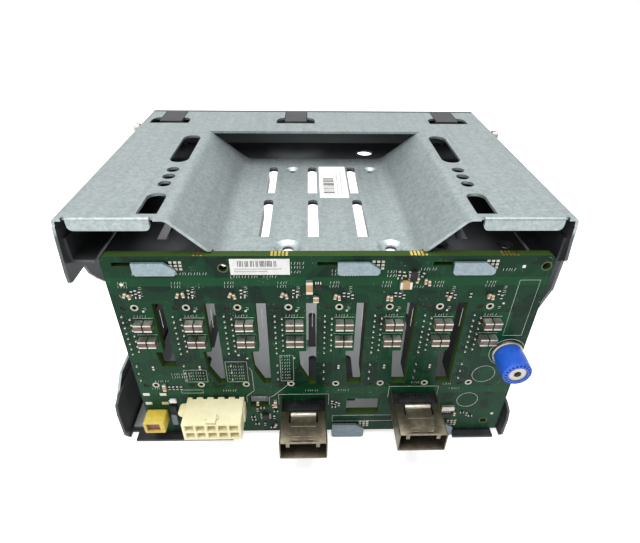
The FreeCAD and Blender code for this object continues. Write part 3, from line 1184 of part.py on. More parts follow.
def front_frame():
    """Black frame round the open front, with three clips over the cover and tongues on the pan."""
    left = "(-edge_slot_across)"
    right = f"({bay_line(4)}+frame_right_gap)"
    body = new_body("FramePlate")
    pad(body, outline(body, "FrameOuter", "XZ_Plane", [
        (f"-{HALF_WIDTH}", 0), (HALF_WIDTH, 0), (HALF_WIDTH, "cage_height"),
        (f"-{HALF_WIDTH}", "cage_height"),
    ], offset=f"-{HALF_DEPTH}-frame_thickness"), "frame_thickness")
    rounded(body, "FrameCorners", "frame_corner", along("y", x=[HALF_WIDTH, f"-{HALF_WIDTH}"]))
    opening = outline(body, "FrameOpening", "XZ_Plane", [
        (left, "frame_sill"), (right, "frame_sill"), (right, FRAME_HEAD), (left, FRAME_HEAD),
    ], offset=f"-{HALF_DEPTH}-frame_thickness")
    pocket(body, opening, "3*frame_thickness")
    rounded(body, "FrameOpeningCorners", "gauge",
            along("y", x=[left, right], z=["frame_sill", FRAME_HEAD]))
    pieces = [body]
    for side, x in (("left", f"{left}-sleeve_wall"), ("right", right)):
        pieces.append(block(f"frame_sleeve_{side}", x, f"{HALF_DEPTH}-frame_sleeve",
                            "frame_sill+sleeve_short", "sleeve_wall", "frame_sleeve+merge",
                            f"{FRAME_HEAD}-frame_sill-2*sleeve_short"))
    for name in CLIPS:
        start = f"clip_place_{name}-clip_half"
        arm = f"{HALF_DEPTH}-clip_length"
        pieces.append(block(f"clip_arm_{name}", start, arm, "cage_height-clip_thickness", "2*clip_half",
                            "clip_length+merge", "clip_thickness"))
        pieces.append(block(f"clip_hook_{name}", start, arm, "cage_height-clip_thickness-clip_hook",
                            "2*clip_half", "clip_thickness", "clip_hook+merge"))
        pieces.append(block(f"frame_tongue_{name}", start, f"{HALF_DEPTH}-tongue_length", "gauge",
                            "2*clip_half", "tongue_length+merge", "clip_thickness"))
    return finish("front_frame", joined("FrontFrame", pieces))


def rivets():
    """Rivets that join the side walls to the pan and to the upper guide plate."""
    outer, radius = value(HALF_WIDTH), value("rivet_radius")
    head, crown = value("rivet_head"), value("rivet_head*rivet_crown")
    height, length = value("rivet_head_height"), value("2*gauge")
    shapes = []
    for sign in (-1, 1):
        outward = FreeCAD.Vector(sign, 0, 0)
        for place, up in RIVETS:
            foot = FreeCAD.Vector(sign * outer, value(place), value(up))
            shank = Part.makeCylinder(radius, length, foot, outward * -1)
            dome = Part.makeCone(head, crown, height, foot, outward)
            shapes.append(shank.fuse(dome).removeSplitter())
    return group("rivets", shapes)


def side_studs():
    """Headed studs near the front of both side walls that guide the cage in its rack."""
    for side, sign in (("left", -1), ("right", 1)):
        neck = "stud_reach-stud_head+gauge"
        body = turned(f"Stud{side.title()}", [
            ("0", "0"), ("stud_neck", "0"), ("stud_neck", neck), ("stud_radius", neck),
            ("stud_radius", f"{neck}+stud_head-0.5"), ("stud_radius-0.5", f"{neck}+stud_head"),
            ("0", f"{neck}+stud_head"),
        ], f"{'-' if sign < 0 else ''}{WALL_INNER}", f"stud_{side}_place", STUD_UP)
        body.Placement.Rotation = FreeCAD.Rotation(FreeCAD.Vector(0, 0, 1), -90 * sign)
        finish(f"side_stud_{side}", body)


def labels():
    """Blank paper labels on the board and on the cover's floor."""
    finish("board_label", block("label_board", "board_label_left", "board_rear-label_thickness",
                                f"{BOARD_TOP}-board_label_drop", "board_label_width", "label_thickness",
                                "board_label_height"))
    finish("cover_label", block("label_cover", "cover_label_left", "cover_label_rear", FLOOR_TOP,
                                "cover_label_width", "cover_label_length", "label_thickness"))


top_cover()
base_pan()
upper_guide_plate()
lower_guide_plate()
backplane_board()
for index in range(8):
    drive_connector(index)
solder_pins()
capacitors()
for side, sign in SIDES:
    signal_port(side)
power_header()
yellow_socket()
thumbscrew()
front_frame()
rivets()
side_studs()
labels()
doc.recompute()

for thing in doc.Objects:
    if {"Invalid", "Error"} & set(thing.State):
        raise ValueError(f"{thing.Name} did not compute: {thing.State}")
for node in nodes:
    if node.Shape.isNull() or not node.Shape.isValid() or not node.Shape.Solids:
        raise ValueError(f"{node.Label} has no valid solid")
for node in nodes:
    node.Shape.exportStep(f"parts/{node.Label}.step")
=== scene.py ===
"""Looks of the drive cage with its backplane board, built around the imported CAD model."""
import math
import random

import bpy
from mathutils import Matrix, Vector


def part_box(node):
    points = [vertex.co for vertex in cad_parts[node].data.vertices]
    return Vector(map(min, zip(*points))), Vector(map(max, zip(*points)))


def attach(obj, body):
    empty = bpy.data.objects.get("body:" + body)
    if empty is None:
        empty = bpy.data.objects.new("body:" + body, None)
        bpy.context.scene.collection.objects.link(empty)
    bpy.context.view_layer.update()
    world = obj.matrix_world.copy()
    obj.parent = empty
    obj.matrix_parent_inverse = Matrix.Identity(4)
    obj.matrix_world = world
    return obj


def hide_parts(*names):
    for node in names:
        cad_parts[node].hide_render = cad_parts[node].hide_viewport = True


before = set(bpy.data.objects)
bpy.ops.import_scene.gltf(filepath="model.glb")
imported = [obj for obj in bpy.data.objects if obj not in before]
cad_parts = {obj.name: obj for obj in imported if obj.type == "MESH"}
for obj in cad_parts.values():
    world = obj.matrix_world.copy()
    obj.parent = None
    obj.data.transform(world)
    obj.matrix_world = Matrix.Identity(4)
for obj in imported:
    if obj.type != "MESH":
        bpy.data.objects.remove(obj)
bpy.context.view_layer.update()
MM = 0.001
PITCH = 17.4                                    # of the drive bays
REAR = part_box("backplane_board")[0].y / MM      # the board's rear face
FRONT_START, FRONT_END = 1.4, 1.8               # from the rear face forward, either side of the front one
BAYS = [-1.3 + (bay - 3.5) * PITCH for bay in range(8)]     # each bay's ring holes, centred on x = -1.3
RING_UP, RING_DROP = 70, 38.55      # the upper ring holes' height, and the fall from them to the lower ones
CAP_FALL, CAP_DROP = 7.1, 7.7       # from a ring hole down to the first row of capacitors, and to the next
TICK_PITCH, TICK_WIDE = 0.92, 1.0   # of the legend's short strokes
LAND_RISE = 0.07                    # of the tinned rings
DECK_FALL = 0.65                    # from the top of a port's shell down to its deck
RIDGES = (13.6, 17.9)               # from the board's rear face back to a port's two ridges
STRAP_START = 7.2                   # from the board's rear face back to a port's bright strap
LATCH_RISE = 0.75                   # of the cream header's latch, from its foot to its top


# ---------------------------------------------------------------- nodes of a material


def put(tree, kind, inputs=None, **settings):
    """A node with its settings and inputs; an input may be a value or another node's socket."""
    made = tree.nodes.new(kind)
    for name, setting in settings.items():
        setattr(made, name, setting)
    for name, given in (inputs or {}).items():
        if isinstance(given, bpy.types.NodeSocket):
            tree.links.new(given, made.inputs[name])
        else:
            made.inputs[name].default_value = given
    return made


def sums(tree, operation, first, second=0.0):
    """One step of arithmetic."""
    return put(tree, "ShaderNodeMath", {0: first, 1: second}, operation=operation).outputs[0]


def times(tree, first, second):
    """The product of two values."""
    return sums(tree, "MULTIPLY", first, second)


def split(tree, vector):
    """The x, y and z of a vector."""
    return put(tree, "ShaderNodeSeparateXYZ", {"Vector": vector}).outputs


def outward(tree):
    """The x, y and z of the way a surface faces."""
    return split(tree, put(tree, "ShaderNodeNewGeometry").outputs["Normal"])


def ramp(tree, mask, low, high):
    """A mask that runs from 0 at low to 1 at high."""
    made = put(tree, "ShaderNodeMapRange", {"Value": mask, "From Min": low, "From Max": high})
    made.interpolation_type = "SMOOTHSTEP"
    return made.outputs["Result"]


def blend(tree, mask, first, second):
    """Two colours mixed by a mask; inputs 6 and 7 and output 2 are the node's colours."""
    inputs = {"Factor": mask}
    for index, given in ((6, first), (7, second)):
        inputs[index] = given if isinstance(given, bpy.types.NodeSocket) else (*given, 1)
    return put(tree, "ShaderNodeMix", inputs, data_type="RGBA").outputs[2]


def effect(name, inputs, outputs):
    """An empty node group with its sockets; returns the tree, its inputs and its output node."""
    tree = bpy.data.node_groups.new(name, "ShaderNodeTree")
    kinds = {"v": "NodeSocketVector", "f": "NodeSocketFloat", "c": "NodeSocketColor"}
    for title, kind in inputs:
        tree.interface.new_socket(title, in_out="INPUT", socket_type=kinds[kind])
    for title, kind in outputs:
        tree.interface.new_socket(title, in_out="OUTPUT", socket_type=kinds[kind])
    start = tree.nodes.new("NodeGroupInput")
    end = tree.nodes.new("NodeGroupOutput")
    return tree, start.outputs, end


def place(tree, group, inputs):
    """A node group placed in a material with its own values."""
    return put(tree, "ShaderNodeGroup", inputs, node_tree=group).outputs


def noise(tree, vector, scale, detail=2.0, roughness=0.5):
    """A value that drifts over the surface."""
    inputs = {"Vector": vector, "Scale": scale, "Detail": detail, "Roughness": roughness}
    return put(tree, "ShaderNodeTexNoise", inputs).outputs["Fac"]


# colour that drifts between two tones, coarse and fine together
TONES, given, end = effect("tones", [("Vector", "v"), ("Scale", "f"), ("First", "c"), ("Second", "c")],
                           [("Color", "c"), ("Mask", "f")])
coarse = noise(TONES, given["Vector"], given["Scale"], 3, 0.6)
fine = noise(TONES, given["Vector"], times(TONES, given["Scale"], 9), 2)
mixed = sums(TONES, "ADD", times(TONES, coarse, 0.65), times(TONES, fine, 0.35))
mask = ramp(TONES, mixed, 0.36, 0.64)
TONES.links.new(blend(TONES, mask, given["First"], given["Second"]), end.inputs["Color"])
TONES.links.new(mask, end.inputs["Mask"])

# the crystal spangle and the fine speckle of hot-dip zinc
SPANGLE, given, end = effect("zinc_spangle", [("Vector", "v"), ("Size", "f")],
                             [("Mask", "f"), ("Speck", "f")])
cells = put(SPANGLE, "ShaderNodeTexVoronoi", {"Vector": given["Vector"], "Scale": given["Size"]})
tone = put(SPANGLE, "ShaderNodeSeparateColor", {"Color": cells.outputs["Color"]}).outputs[0]
drift = noise(SPANGLE, given["Vector"], times(SPANGLE, given["Size"], 0.4), 4, 0.6)
mixed = sums(SPANGLE, "ADD", times(SPANGLE, tone, 0.5), times(SPANGLE, drift, 0.5))
SPANGLE.links.new(mixed, end.inputs["Mask"])
speck = noise(SPANGLE, given["Vector"], times(SPANGLE, given["Size"], 6), 3, 0.7)
SPANGLE.links.new(ramp(SPANGLE, speck, 0.35, 0.65), end.inputs["Speck"])

# hairline scratches, long in one direction and broken up
SCRATCHES, given, end = effect("scratches", [("Vector", "v"), ("Density", "f"), ("Amount", "f")],
                               [("Mask", "f")])
total = None
for turn, stretch in ((0.35, 26), (2.05, 34)):
    laid = put(SCRATCHES, "ShaderNodeMapping", {
        "Vector": given["Vector"], "Rotation": (turn, turn * 0.6, turn), "Scale": (1, stretch, stretch)})
    line = noise(SCRATCHES, laid.outputs[0], given["Density"], 2, 0.4)
    line = ramp(SCRATCHES, line, 0.66, 0.70)
    total = line if total is None else sums(SCRATCHES, "MAXIMUM", total, line)
broken = noise(SCRATCHES, given["Vector"], times(SCRATCHES, given["Density"], 3))
total = times(SCRATCHES, total, ramp(SCRATCHES, broken, 0.5, 0.62))
SCRATCHES.links.new(times(SCRATCHES, total, given["Amount"]), end.inputs["Mask"])

# dust and handling marks, soft and patchy
SMUDGE, given, end = effect("smudges", [("Vector", "v"), ("Scale", "f"), ("Amount", "f")], [("Mask", "f")])
patch = ramp(SMUDGE, noise(SMUDGE, given["Vector"], given["Scale"], 5, 0.65), 0.48, 0.72)
SMUDGE.links.new(times(SMUDGE, patch, given["Amount"]), end.inputs["Mask"])

# a bump from grain of a given size
GRAIN, given, end = effect("grain", [("Vector", "v"), ("Scale", "f"), ("Height", "f")], [("Height", "f")])
bumps = sums(GRAIN, "ADD", noise(GRAIN, given["Vector"], given["Scale"], 3, 0.6),
             noise(GRAIN, given["Vector"], times(GRAIN, given["Scale"], 0.13), 2))
GRAIN.links.new(times(GRAIN, bumps, given["Height"]), end.inputs["Height"])


def material(name):
    """A new material with its shader and Object coordinates."""
    made = bpy.data.materials.new(name)
    made.use_nodes = True
    tree = made.node_tree
    shader = tree.nodes["Principled BSDF"]
    spot = put(tree, "ShaderNodeTexCoord").outputs["Object"]
    return made, tree, shader, spot


def bump(tree, shader, height, strength=0.3, distance=0.0001):
    """A relief that tilts the surface without moving it."""
    made = put(tree, "ShaderNodeBump", {"Height": height, "Strength": strength, "Distance": distance})
    tree.links.new(made.outputs[0], shader.inputs["Normal"])


def wire(tree, source, shader, name):
    """Links a value to one of the shader's inputs."""
    tree.links.new(source, shader.inputs[name])


def moulded(name, first, second, gloss=0.45, grain=2600, dust=(0.6, 0.6, 0.58), dusty=0.12, scuffs=0.35):
    """Moulded plastic: two close tones, fine grain, handling marks and a little dust."""
    made, tree, shader, spot = material(name)
    tones = place(tree, TONES, {"Vector": spot, "Scale": 90, "First": (*first, 1), "Second": (*second, 1)})
    marks = place(tree, SMUDGE, {"Vector": spot, "Scale": 240, "Amount": dusty})["Mask"]
    lines = place(tree, SCRATCHES, {"Vector": spot, "Density": 160, "Amount": scuffs})["Mask"]
    colour = blend(tree, marks, tones["Color"], dust)
    colour = blend(tree, lines, colour, [channel * 1.5 + 0.03 for channel in first])
    wire(tree, colour, shader, "Base Color")
    rough = sums(tree, "ADD", times(tree, marks, 0.5), gloss)
    wire(tree, sums(tree, "ADD", rough, times(tree, tones["Mask"], 0.08)), shader, "Roughness")
    texture = place(tree, GRAIN, {"Vector": spot, "Scale": grain, "Height": 0.5})["Height"]
    bump(tree, shader, sums(tree, "SUBTRACT", texture, lines), 0.25)
    return made


def scaled(tone, factor):
    """A colour's channels, all darker or lighter by one factor."""
    return [channel * factor for channel in tone]


def inside(tree, spot):
    """1 on the faces that look into the cage, which wear painted shade: undersides, the walls' inner faces,
    ears behind the board.
    """
    facing = outward(tree)
    axes = split(tree, spot)
    under = ramp(tree, facing[2], -0.15, -0.45)
    wall = ramp(tree, times(tree, facing[0], sums(tree, "SIGN", axes[0])), -0.5, -0.8)
    wall = times(tree, wall, ramp(tree, sums(tree, "ABSOLUTE", axes[0]), 0.072, 0.076))
    edge = times(tree, ramp(tree, facing[1], -0.5, -0.8), ramp(tree, axes[2], 0.099, 0.097))
    edge = times(tree, edge, ramp(tree, sums(tree, "ABSOLUTE", axes[0]), 0.0786, 0.0792))
    return sums(tree, "MAXIMUM", under, sums(tree, "MAXIMUM", wall, edge))


def sheet_steel(name, first, second, rough, size=1100.0, stain=(0.30, 0.32, 0.33), amount=0.25, metal=0.75,
                shade=(0.075, 0.078, 0.083), front_painted_lighting=None, recess_painted_light=None):
    """Zinc-coated steel: fine spangle, drawing streaks, scratches, handling marks and painted shade on the
    faces that look into the cage.

    A colour given as front_painted_lighting is painted light and shade on everything in front of the board,
    and one given as recess_painted_light is painted light on the plate's top under the recess, where light
    falls in.
    """
    made, tree, shader, spot = material(name)
    zinc = place(tree, SPANGLE, {"Vector": spot, "Size": size})
    colour = blend(tree, ramp(tree, zinc["Mask"], 0.1, 0.9), first, second)
    colour = blend(tree, times(tree, zinc["Speck"], 0.28), colour, scaled(first, 0.70))
    drawn = put(tree, "ShaderNodeMapping", {"Vector": spot, "Scale": (420, 16, 60)}).outputs[0]
    streaks = ramp(tree, noise(tree, drawn, 1, 3, 0.6), 0.42, 0.66)
    colour = blend(tree, times(tree, streaks, 0.22), colour, scaled(first, 0.72))
    marks = place(tree, SMUDGE, {"Vector": spot, "Scale": 38, "Amount": amount})["Mask"]
    colour = blend(tree, marks, colour, stain)
    lines = place(tree, SCRATCHES, {"Vector": spot, "Density": 70, "Amount": 0.4})["Mask"]
    colour = blend(tree, lines, colour, [min(1, channel) for channel in scaled(second, 1.3)])
    # painted light and shade on the plate in front of the board, with a pool of painted light under the
    # recess
    if front_painted_lighting:
        across, along = split(tree, spot)[:2]
        if recess_painted_light:
            light = times(tree, ramp(tree, outward(tree)[2], 0.5, 0.8), ramp(tree, along, 0.050, 0.028))
            light = times(tree, light, ramp(tree, sums(tree, "ABSOLUTE", across), 0.052, 0.040))
            front_painted_lighting = blend(tree, light, front_painted_lighting, recess_painted_light)
        bright = blend(tree, times(tree, zinc["Speck"], 0.2), front_painted_lighting, shade)
        front = ramp(tree, along, (REAR + FRONT_START) * MM, (REAR + FRONT_END) * MM)
        colour = blend(tree, front, colour, bright)
    # painted shade on the faces that look into the cage
    colour = blend(tree, times(tree, inside(tree, spot), 0.92), colour, shade)
    wire(tree, colour, shader, "Base Color")
    shader.inputs["Metallic"].default_value = metal
    roughness = sums(tree, "ADD", rough, times(tree, zinc["Speck"], 0.12))
    wire(tree, sums(tree, "ADD", roughness, times(tree, marks, 0.15)), shader, "Roughness")
    height = sums(tree, "SUBTRACT", times(tree, zinc["Speck"], 0.35), lines)
    bump(tree, shader, height, 0.18, 0.00008)
    return made


def turned_metal(name, first, second, rough):
    """Turned or plated metal with fine machining lines and tarnish."""
    made, tree, shader, spot = material(name)
    tones = place(tree, TONES, {"Vector": spot, "Scale": 260, "First": (*first, 1), "Second": (*second, 1)})
    lines = place(tree, SCRATCHES, {"Vector": spot, "Density": 420, "Amount": 0.6})["Mask"]
    colour = blend(tree, lines, tones["Color"], scaled(first, 0.6))
    wire(tree, colour, shader, "Base Color")
    shader.inputs["Metallic"].default_value = 1
    wire(tree, sums(tree, "ADD", rough, times(tree, tones["Mask"], 0.18)), shader, "Roughness")
    texture = place(tree, GRAIN, {"Vector": spot, "Scale": 3200, "Height": 0.5})["Height"]
    bump(tree, shader, sums(tree, "SUBTRACT", texture, lines), 0.2, 0.00005)
    return made


def painted(name, first, second, scuff, rear=None):
    """Black powder coat: orange-peel texture, dust and scuffs; rear is painted light on its rear faces,
    strongest low down and fading out towards the top.
    """
    made, tree, shader, spot = material(name)
    tones = place(tree, TONES, {"Vector": spot, "Scale": 60, "First": (*first, 1), "Second": (*second, 1)})
    marks = place(tree, SMUDGE, {"Vector": spot, "Scale": 70, "Amount": 0.25})["Mask"]
    lines = place(tree, SCRATCHES, {"Vector": spot, "Density": 140, "Amount": 0.3})["Mask"]
    colour = blend(tree, marks, tones["Color"], (0.10, 0.10, 0.105))
    if rear:
        # painted light on the rear faces, fading out towards the top
        up = split(tree, spot)[2]
        bare_resist_and_rear_light = times(tree, ramp(tree, outward(tree)[1], -0.6, -0.8), ramp(tree, up, 0.101, 0.088))
        colour = blend(tree, bare_resist_and_rear_light, colour, rear)
    wire(tree, blend(tree, lines, colour, scuff), shader, "Base Color")
    wire(tree, sums(tree, "ADD", 0.42, times(tree, marks, 0.9)), shader, "Roughness")
    texture = place(tree, GRAIN, {"Vector": spot, "Scale": 1500, "Height": 0.8})["Height"]
    bump(tree, shader, sums(tree, "SUBTRACT", texture, lines), 0.3)
    return made


# ---------------------------------------------------------------- the board's own material


def stripe(tree, along, middle, half, soft):
    """1 within half of a line, fading over soft."""
    off = sums(tree, "ABSOLUTE", sums(tree, "SUBTRACT", along, middle))
    return sums(tree, "SUBTRACT", 1.0, ramp(tree, off, half, half + soft))


def zigzag(tree, along, pitch):
    """From 0.5 down to 0 and up again, once every pitch."""
    part = sums(tree, "FRACT", sums(tree, "DIVIDE", along, pitch))
    return sums(tree, "ABSOLUTE", sums(tree, "SUBTRACT", part, 0.5))


def circuit_board():
    """Solder resist over copper: pours and tracks that repeat with the bays, vias, laminate edges."""
    made, tree, shader, spot = material("solder_resist")
    across, depth, up = split(tree, spot)
    # how far across its own bay a spot is, from 0 to 1
    bay = sums(tree, "FRACT", sums(tree, "ADD", sums(tree, "DIVIDE", across, PITCH * MM), 0.5747))
    bare_resist_and_rear_light, copper = (0.003, 0.018, 0.010), (0.005, 0.062, 0.020)
    # where copper lies under the resist
    patches = ramp(tree, noise(tree, spot, 75, 1.5, 0.4), 0.47, 0.50)
    band = stripe(tree, up, 0.0808, 0.0016, 0.0002)
    column = times(tree, stripe(tree, bay, 0.30, 0.20, 0.02), stripe(tree, up, 0.0565, 0.0105, 0.0005))
    foot = stripe(tree, up, 0.0275, 0.0016, 0.0004)
    pour = sums(tree, "MAXIMUM", band, column)
    pour = sums(tree, "MAXIMUM", pour, times(tree, foot, 0.8))
    pour = sums(tree, "MAXIMUM", pour, times(tree, patches, 0.45))
    # bundles of thin tracks, upright and level, each kept to its own patches
    zone = noise(tree, spot, 52, 1, 0.4)
    tracks = None
    for along, zone_low, zone_high, pitch in ((across, 0.52, 0.54, 0.00062), (up, 0.40, 0.38, 0.00055)):
        wave = zigzag(tree, along, pitch)
        lines = times(tree, ramp(tree, wave, 0.28, 0.20), ramp(tree, zone, zone_low, zone_high))
        tracks = lines if tracks is None else sums(tree, "MAXIMUM", tracks, lines)
    tracks = sums(tree, "MAXIMUM", tracks, stripe(tree, bay, 0.93, 0.006, 0.004))
    colour = blend(tree, times(tree, pour, 0.85), bare_resist_and_rear_light, copper)
    colour = blend(tree, times(tree, tracks, 0.42), colour, (0.008, 0.080, 0.030))
    # plated vias
    cells = put(tree, "ShaderNodeTexVoronoi", {"Vector": spot, "Scale": 560, "Randomness": 0.8})
    chance = put(tree, "ShaderNodeSeparateColor", {"Color": cells.outputs["Color"]}).outputs[1]
    chosen = ramp(tree, chance, 0.70, 0.72)
    via = times(tree, ramp(tree, cells.outputs["Distance"], 0.17, 0.12), chosen)
    colour = blend(tree, times(tree, via, 0.55), colour, (0.07, 0.20, 0.10))
    hole = times(tree, ramp(tree, cells.outputs["Distance"], 0.08, 0.05), chosen)
    colour = blend(tree, hole, colour, (0.01, 0.012, 0.01))
    # flux residue and dust
    marks = place(tree, SMUDGE, {"Vector": spot, "Scale": 130, "Amount": 0.15})["Mask"]
    colour = blend(tree, marks, colour, (0.04, 0.07, 0.045))
    # scattered flecks of print and solder too small to model
    flecks = ramp(tree, noise(tree, spot, 1900, 2, 0.6), 0.66, 0.70)
    around = ramp(tree, noise(tree, spot, 120, 2, 0.5), 0.50, 0.60)
    colour = blend(tree, times(tree, times(tree, flecks, around), 0.6), colour, (0.30, 0.42, 0.30))
    # cut edges show the glass cloth
    edge = ramp(tree, sums(tree, "ABSOLUTE", outward(tree)[1]), 0.7, 0.5)
    plies = ramp(tree, zigzag(tree, depth, 0.00075), 0.34, 0.44)
    cloth = blend(tree, plies, (0.030, 0.058, 0.008), (0.075, 0.100, 0.020))
    cloth = blend(tree, times(tree, noise(tree, spot, 260, 3), 0.6), cloth, (0.012, 0.055, 0.016))
    colour = blend(tree, edge, colour, cloth)
    wire(tree, colour, shader, "Base Color")
    shader.inputs["Specular IOR Level"].default_value = 0.10
    rough = sums(tree, "ADD", 0.34, times(tree, marks, 1.1))
    wire(tree, sums(tree, "ADD", rough, times(tree, edge, 0.35)), shader, "Roughness")
    relief = sums(tree, "ADD", times(tree, pour, 0.5), times(tree, tracks, 0.5))
    relief = sums(tree, "SUBTRACT", sums(tree, "ADD", relief, times(tree, via, 0.6)), hole)
    bump(tree, shader, relief, 0.35, 0.00006)
    return made


BOARD = circuit_board()
ZINC = sheet_steel("galvanised_sheet", (0.30, 0.35, 0.355), (0.43, 0.48, 0.485), 0.42)
# the lower plate in front of the board is painted light
TRAY = sheet_steel("galvanised_tray", (0.13, 0.18, 0.20), (0.20, 0.25, 0.27), 0.45,
                   front_painted_lighting=(0.66, 0.69, 0.69))
# the upper plate in front of the board is painted shade, with painted light under the recess
GUIDE = sheet_steel("galvanised_guide", (0.22, 0.28, 0.31), (0.30, 0.37, 0.40), 0.45,
                    front_painted_lighting=(0.085, 0.09, 0.095), recess_painted_light=(0.30, 0.33, 0.34))
BLACK_PAINT = painted("black_powder_coat", (0.020, 0.021, 0.024), (0.030, 0.031, 0.035), (0.14, 0.14, 0.15))
# the frame's rear faces wear painted light
FRAME = painted("frame_powder_coat", (0.022, 0.023, 0.026), (0.032, 0.033, 0.037), (0.14, 0.14, 0.15),
                rear=(0.24, 0.26, 0.265))
BLACK = moulded("black_moulding", (0.008, 0.008, 0.009), (0.014, 0.014, 0.016), 0.5,
                dust=(0.12, 0.12, 0.12))
BLACK.node_tree.nodes["Principled BSDF"].inputs["Specular IOR Level"].default_value = 0.2
CREAM = moulded("cream_moulding", (0.77, 0.71, 0.43), (0.85, 0.79, 0.53), 0.40,
                dust=(0.55, 0.47, 0.30), dusty=0.16, scuffs=0.06)
# painted shade for the sides of the header's latch
CREAM_SHADE = moulded("cream_moulding_shade", (0.34, 0.30, 0.16), (0.42, 0.37, 0.21), 0.45,
                      dusty=0.1, scuffs=0.06)
YELLOW = moulded("yellow_moulding", (0.52, 0.38, 0.045), (0.66, 0.50, 0.075), 0.38,
                 dust=(0.30, 0.20, 0.05), dusty=0.3)
RED = moulded("dark_red_moulding", (0.10, 0.012, 0.010), (0.20, 0.03, 0.02), 0.3)
BLUE = moulded("blue_moulding", (0.008, 0.075, 0.46), (0.014, 0.105, 0.58), 0.42,
               dust=(0.10, 0.18, 0.55), dusty=0.25)
NICKEL = sheet_steel("nickel_shell", (0.125, 0.108, 0.075), (0.20, 0.175, 0.125), 0.34, 700.0,
                     stain=(0.07, 0.06, 0.04), amount=0.5, metal=0.9, shade=(0.03, 0.025, 0.018))
STEEL = turned_metal("turned_steel", (0.34, 0.32, 0.29), (0.48, 0.45, 0.41), 0.36)
SOLDER = turned_metal("tinned_solder", (0.42, 0.41, 0.37), (0.60, 0.59, 0.54), 0.40)
GOLD = turned_metal("gold_flash", (0.60, 0.46, 0.10), (0.78, 0.62, 0.18), 0.32)
CERAMIC = moulded("fired_ceramic", (0.085, 0.042, 0.030), (0.135, 0.072, 0.048), 0.50, 3800)
TAN = moulded("tan_ceramic", (0.34, 0.19, 0.075), (0.47, 0.28, 0.12), 0.45, 3800)
SILK = moulded("white_legend_ink", (0.60, 0.63, 0.58), (0.74, 0.76, 0.70), 0.6, 4200,
               dust=(0.2, 0.3, 0.22), dusty=0.3)


def paper_label():
    """Coated label stock with fibres and handling marks."""
    made, tree, shader, spot = material("label_paper")
    tones = place(tree, TONES, {
        "Vector": spot, "Scale": 420, "First": (0.72, 0.72, 0.70, 1), "Second": (0.82, 0.82, 0.80, 1)})
    marks = place(tree, SMUDGE, {"Vector": spot, "Scale": 160, "Amount": 0.3})["Mask"]
    wire(tree, blend(tree, marks, tones["Color"], (0.45, 0.44, 0.41)), shader, "Base Color")
    wire(tree, sums(tree, "ADD", 0.5, times(tree, marks, 0.5)), shader, "Roughness")
    bump(tree, shader, place(tree, GRAIN, {"Vector": spot, "Scale": 5200, "Height": 0.6})["Height"], 0.2)
    return made


PAPER = paper_label()
INK = moulded("black_print", (0.03, 0.03, 0.03), (0.06, 0.06, 0.06), 0.6, 4200)
FADED = moulded("faded_print", (0.32, 0.32, 0.31), (0.44, 0.44, 0.43), 0.6, 4200)
OLIVE = moulded("dull_land", (0.050, 0.058, 0.026), (0.085, 0.095, 0.042), 0.5, 3800)
STRAP = sheet_steel("bright_spring", (0.44, 0.41, 0.34), (0.60, 0.56, 0.48), 0.30, 900.0,
                    stain=(0.3, 0.27, 0.21))
BONE = moulded("tinned_land", (0.46, 0.43, 0.36), (0.62, 0.59, 0.52), 0.4, 3800,
               dust=(0.25, 0.2, 0.14), dusty=0.3)
SLATE = moulded("slate_case", (0.085, 0.11, 0.13), (0.12, 0.15, 0.17), 0.4, 3800)

LOOKS = {
    BOARD: ["backplane_board"],
    ZINC: ["top_cover"],
    TRAY: ["lower_guide_plate"],
    GUIDE: ["upper_guide_plate"],
    BLACK_PAINT: ["base_pan"],
    FRAME: ["front_frame"],
    CREAM: ["power_header"],
    GOLD: ["power_header_pins"],
    BLACK: ["signal_port_core_left", "signal_port_core_right",
            *(f"drive_connector_{bay + 1}" for bay in range(len(BAYS)))],
    NICKEL: ["signal_port_shell_left", "signal_port_shell_right"],
    YELLOW: ["yellow_socket"],
    RED: ["yellow_socket_insert"],
    BLUE: ["thumbscrew_knob"],
    SOLDER: ["solder_pins", "capacitor_ends"],
    STEEL: ["thumbscrew_screw", "thumbscrew_ferrule", "thumbscrew_nut",
            "rivets", "side_stud_left", "side_stud_right"],
    CERAMIC: ["capacitor_bodies"],
    PAPER: ["board_label", "cover_label"],
}
for look, members in LOOKS.items():
    for name in members:
        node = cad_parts[name]
        node.data.materials.clear()
        node.data.materials.append(look)


# ---------------------------------------------------------------- small parts of the board


def clear():
    """Nothing selected and nothing being edited."""
    if bpy.context.object and bpy.context.object.mode != "OBJECT":
        bpy.ops.object.mode_set(mode="OBJECT")
    bpy.ops.object.select_all(action="DESELECT")


def take(piece):
    """The piece alone selected and active."""
    clear()
    piece.select_set(True)
    bpy.context.view_layer.objects.active = piece


def wear(piece, looks):
    """Fills a piece's material slots in turn and keeps its faces' own slots."""
    for index, look in enumerate(looks):
        if index < len(piece.data.materials):
            piece.data.materials[index] = look
        else:
            piece.data.materials.append(look)


def dress(piece, name, looks=()):
    """Names a finished piece, lets it ride on the cage, and gives it any materials it doesn't wear yet."""
    piece.name = name
    piece.data.name = name
    wear(piece, looks)
    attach(piece, "cage")


def two_looks(piece, first, second, chosen):
    """A finished piece in two materials: the faces that the test picks wear the second."""
    wear(piece, (first, second))
    for face in piece.data.polygons:
        face.material_index = int(chosen(face))


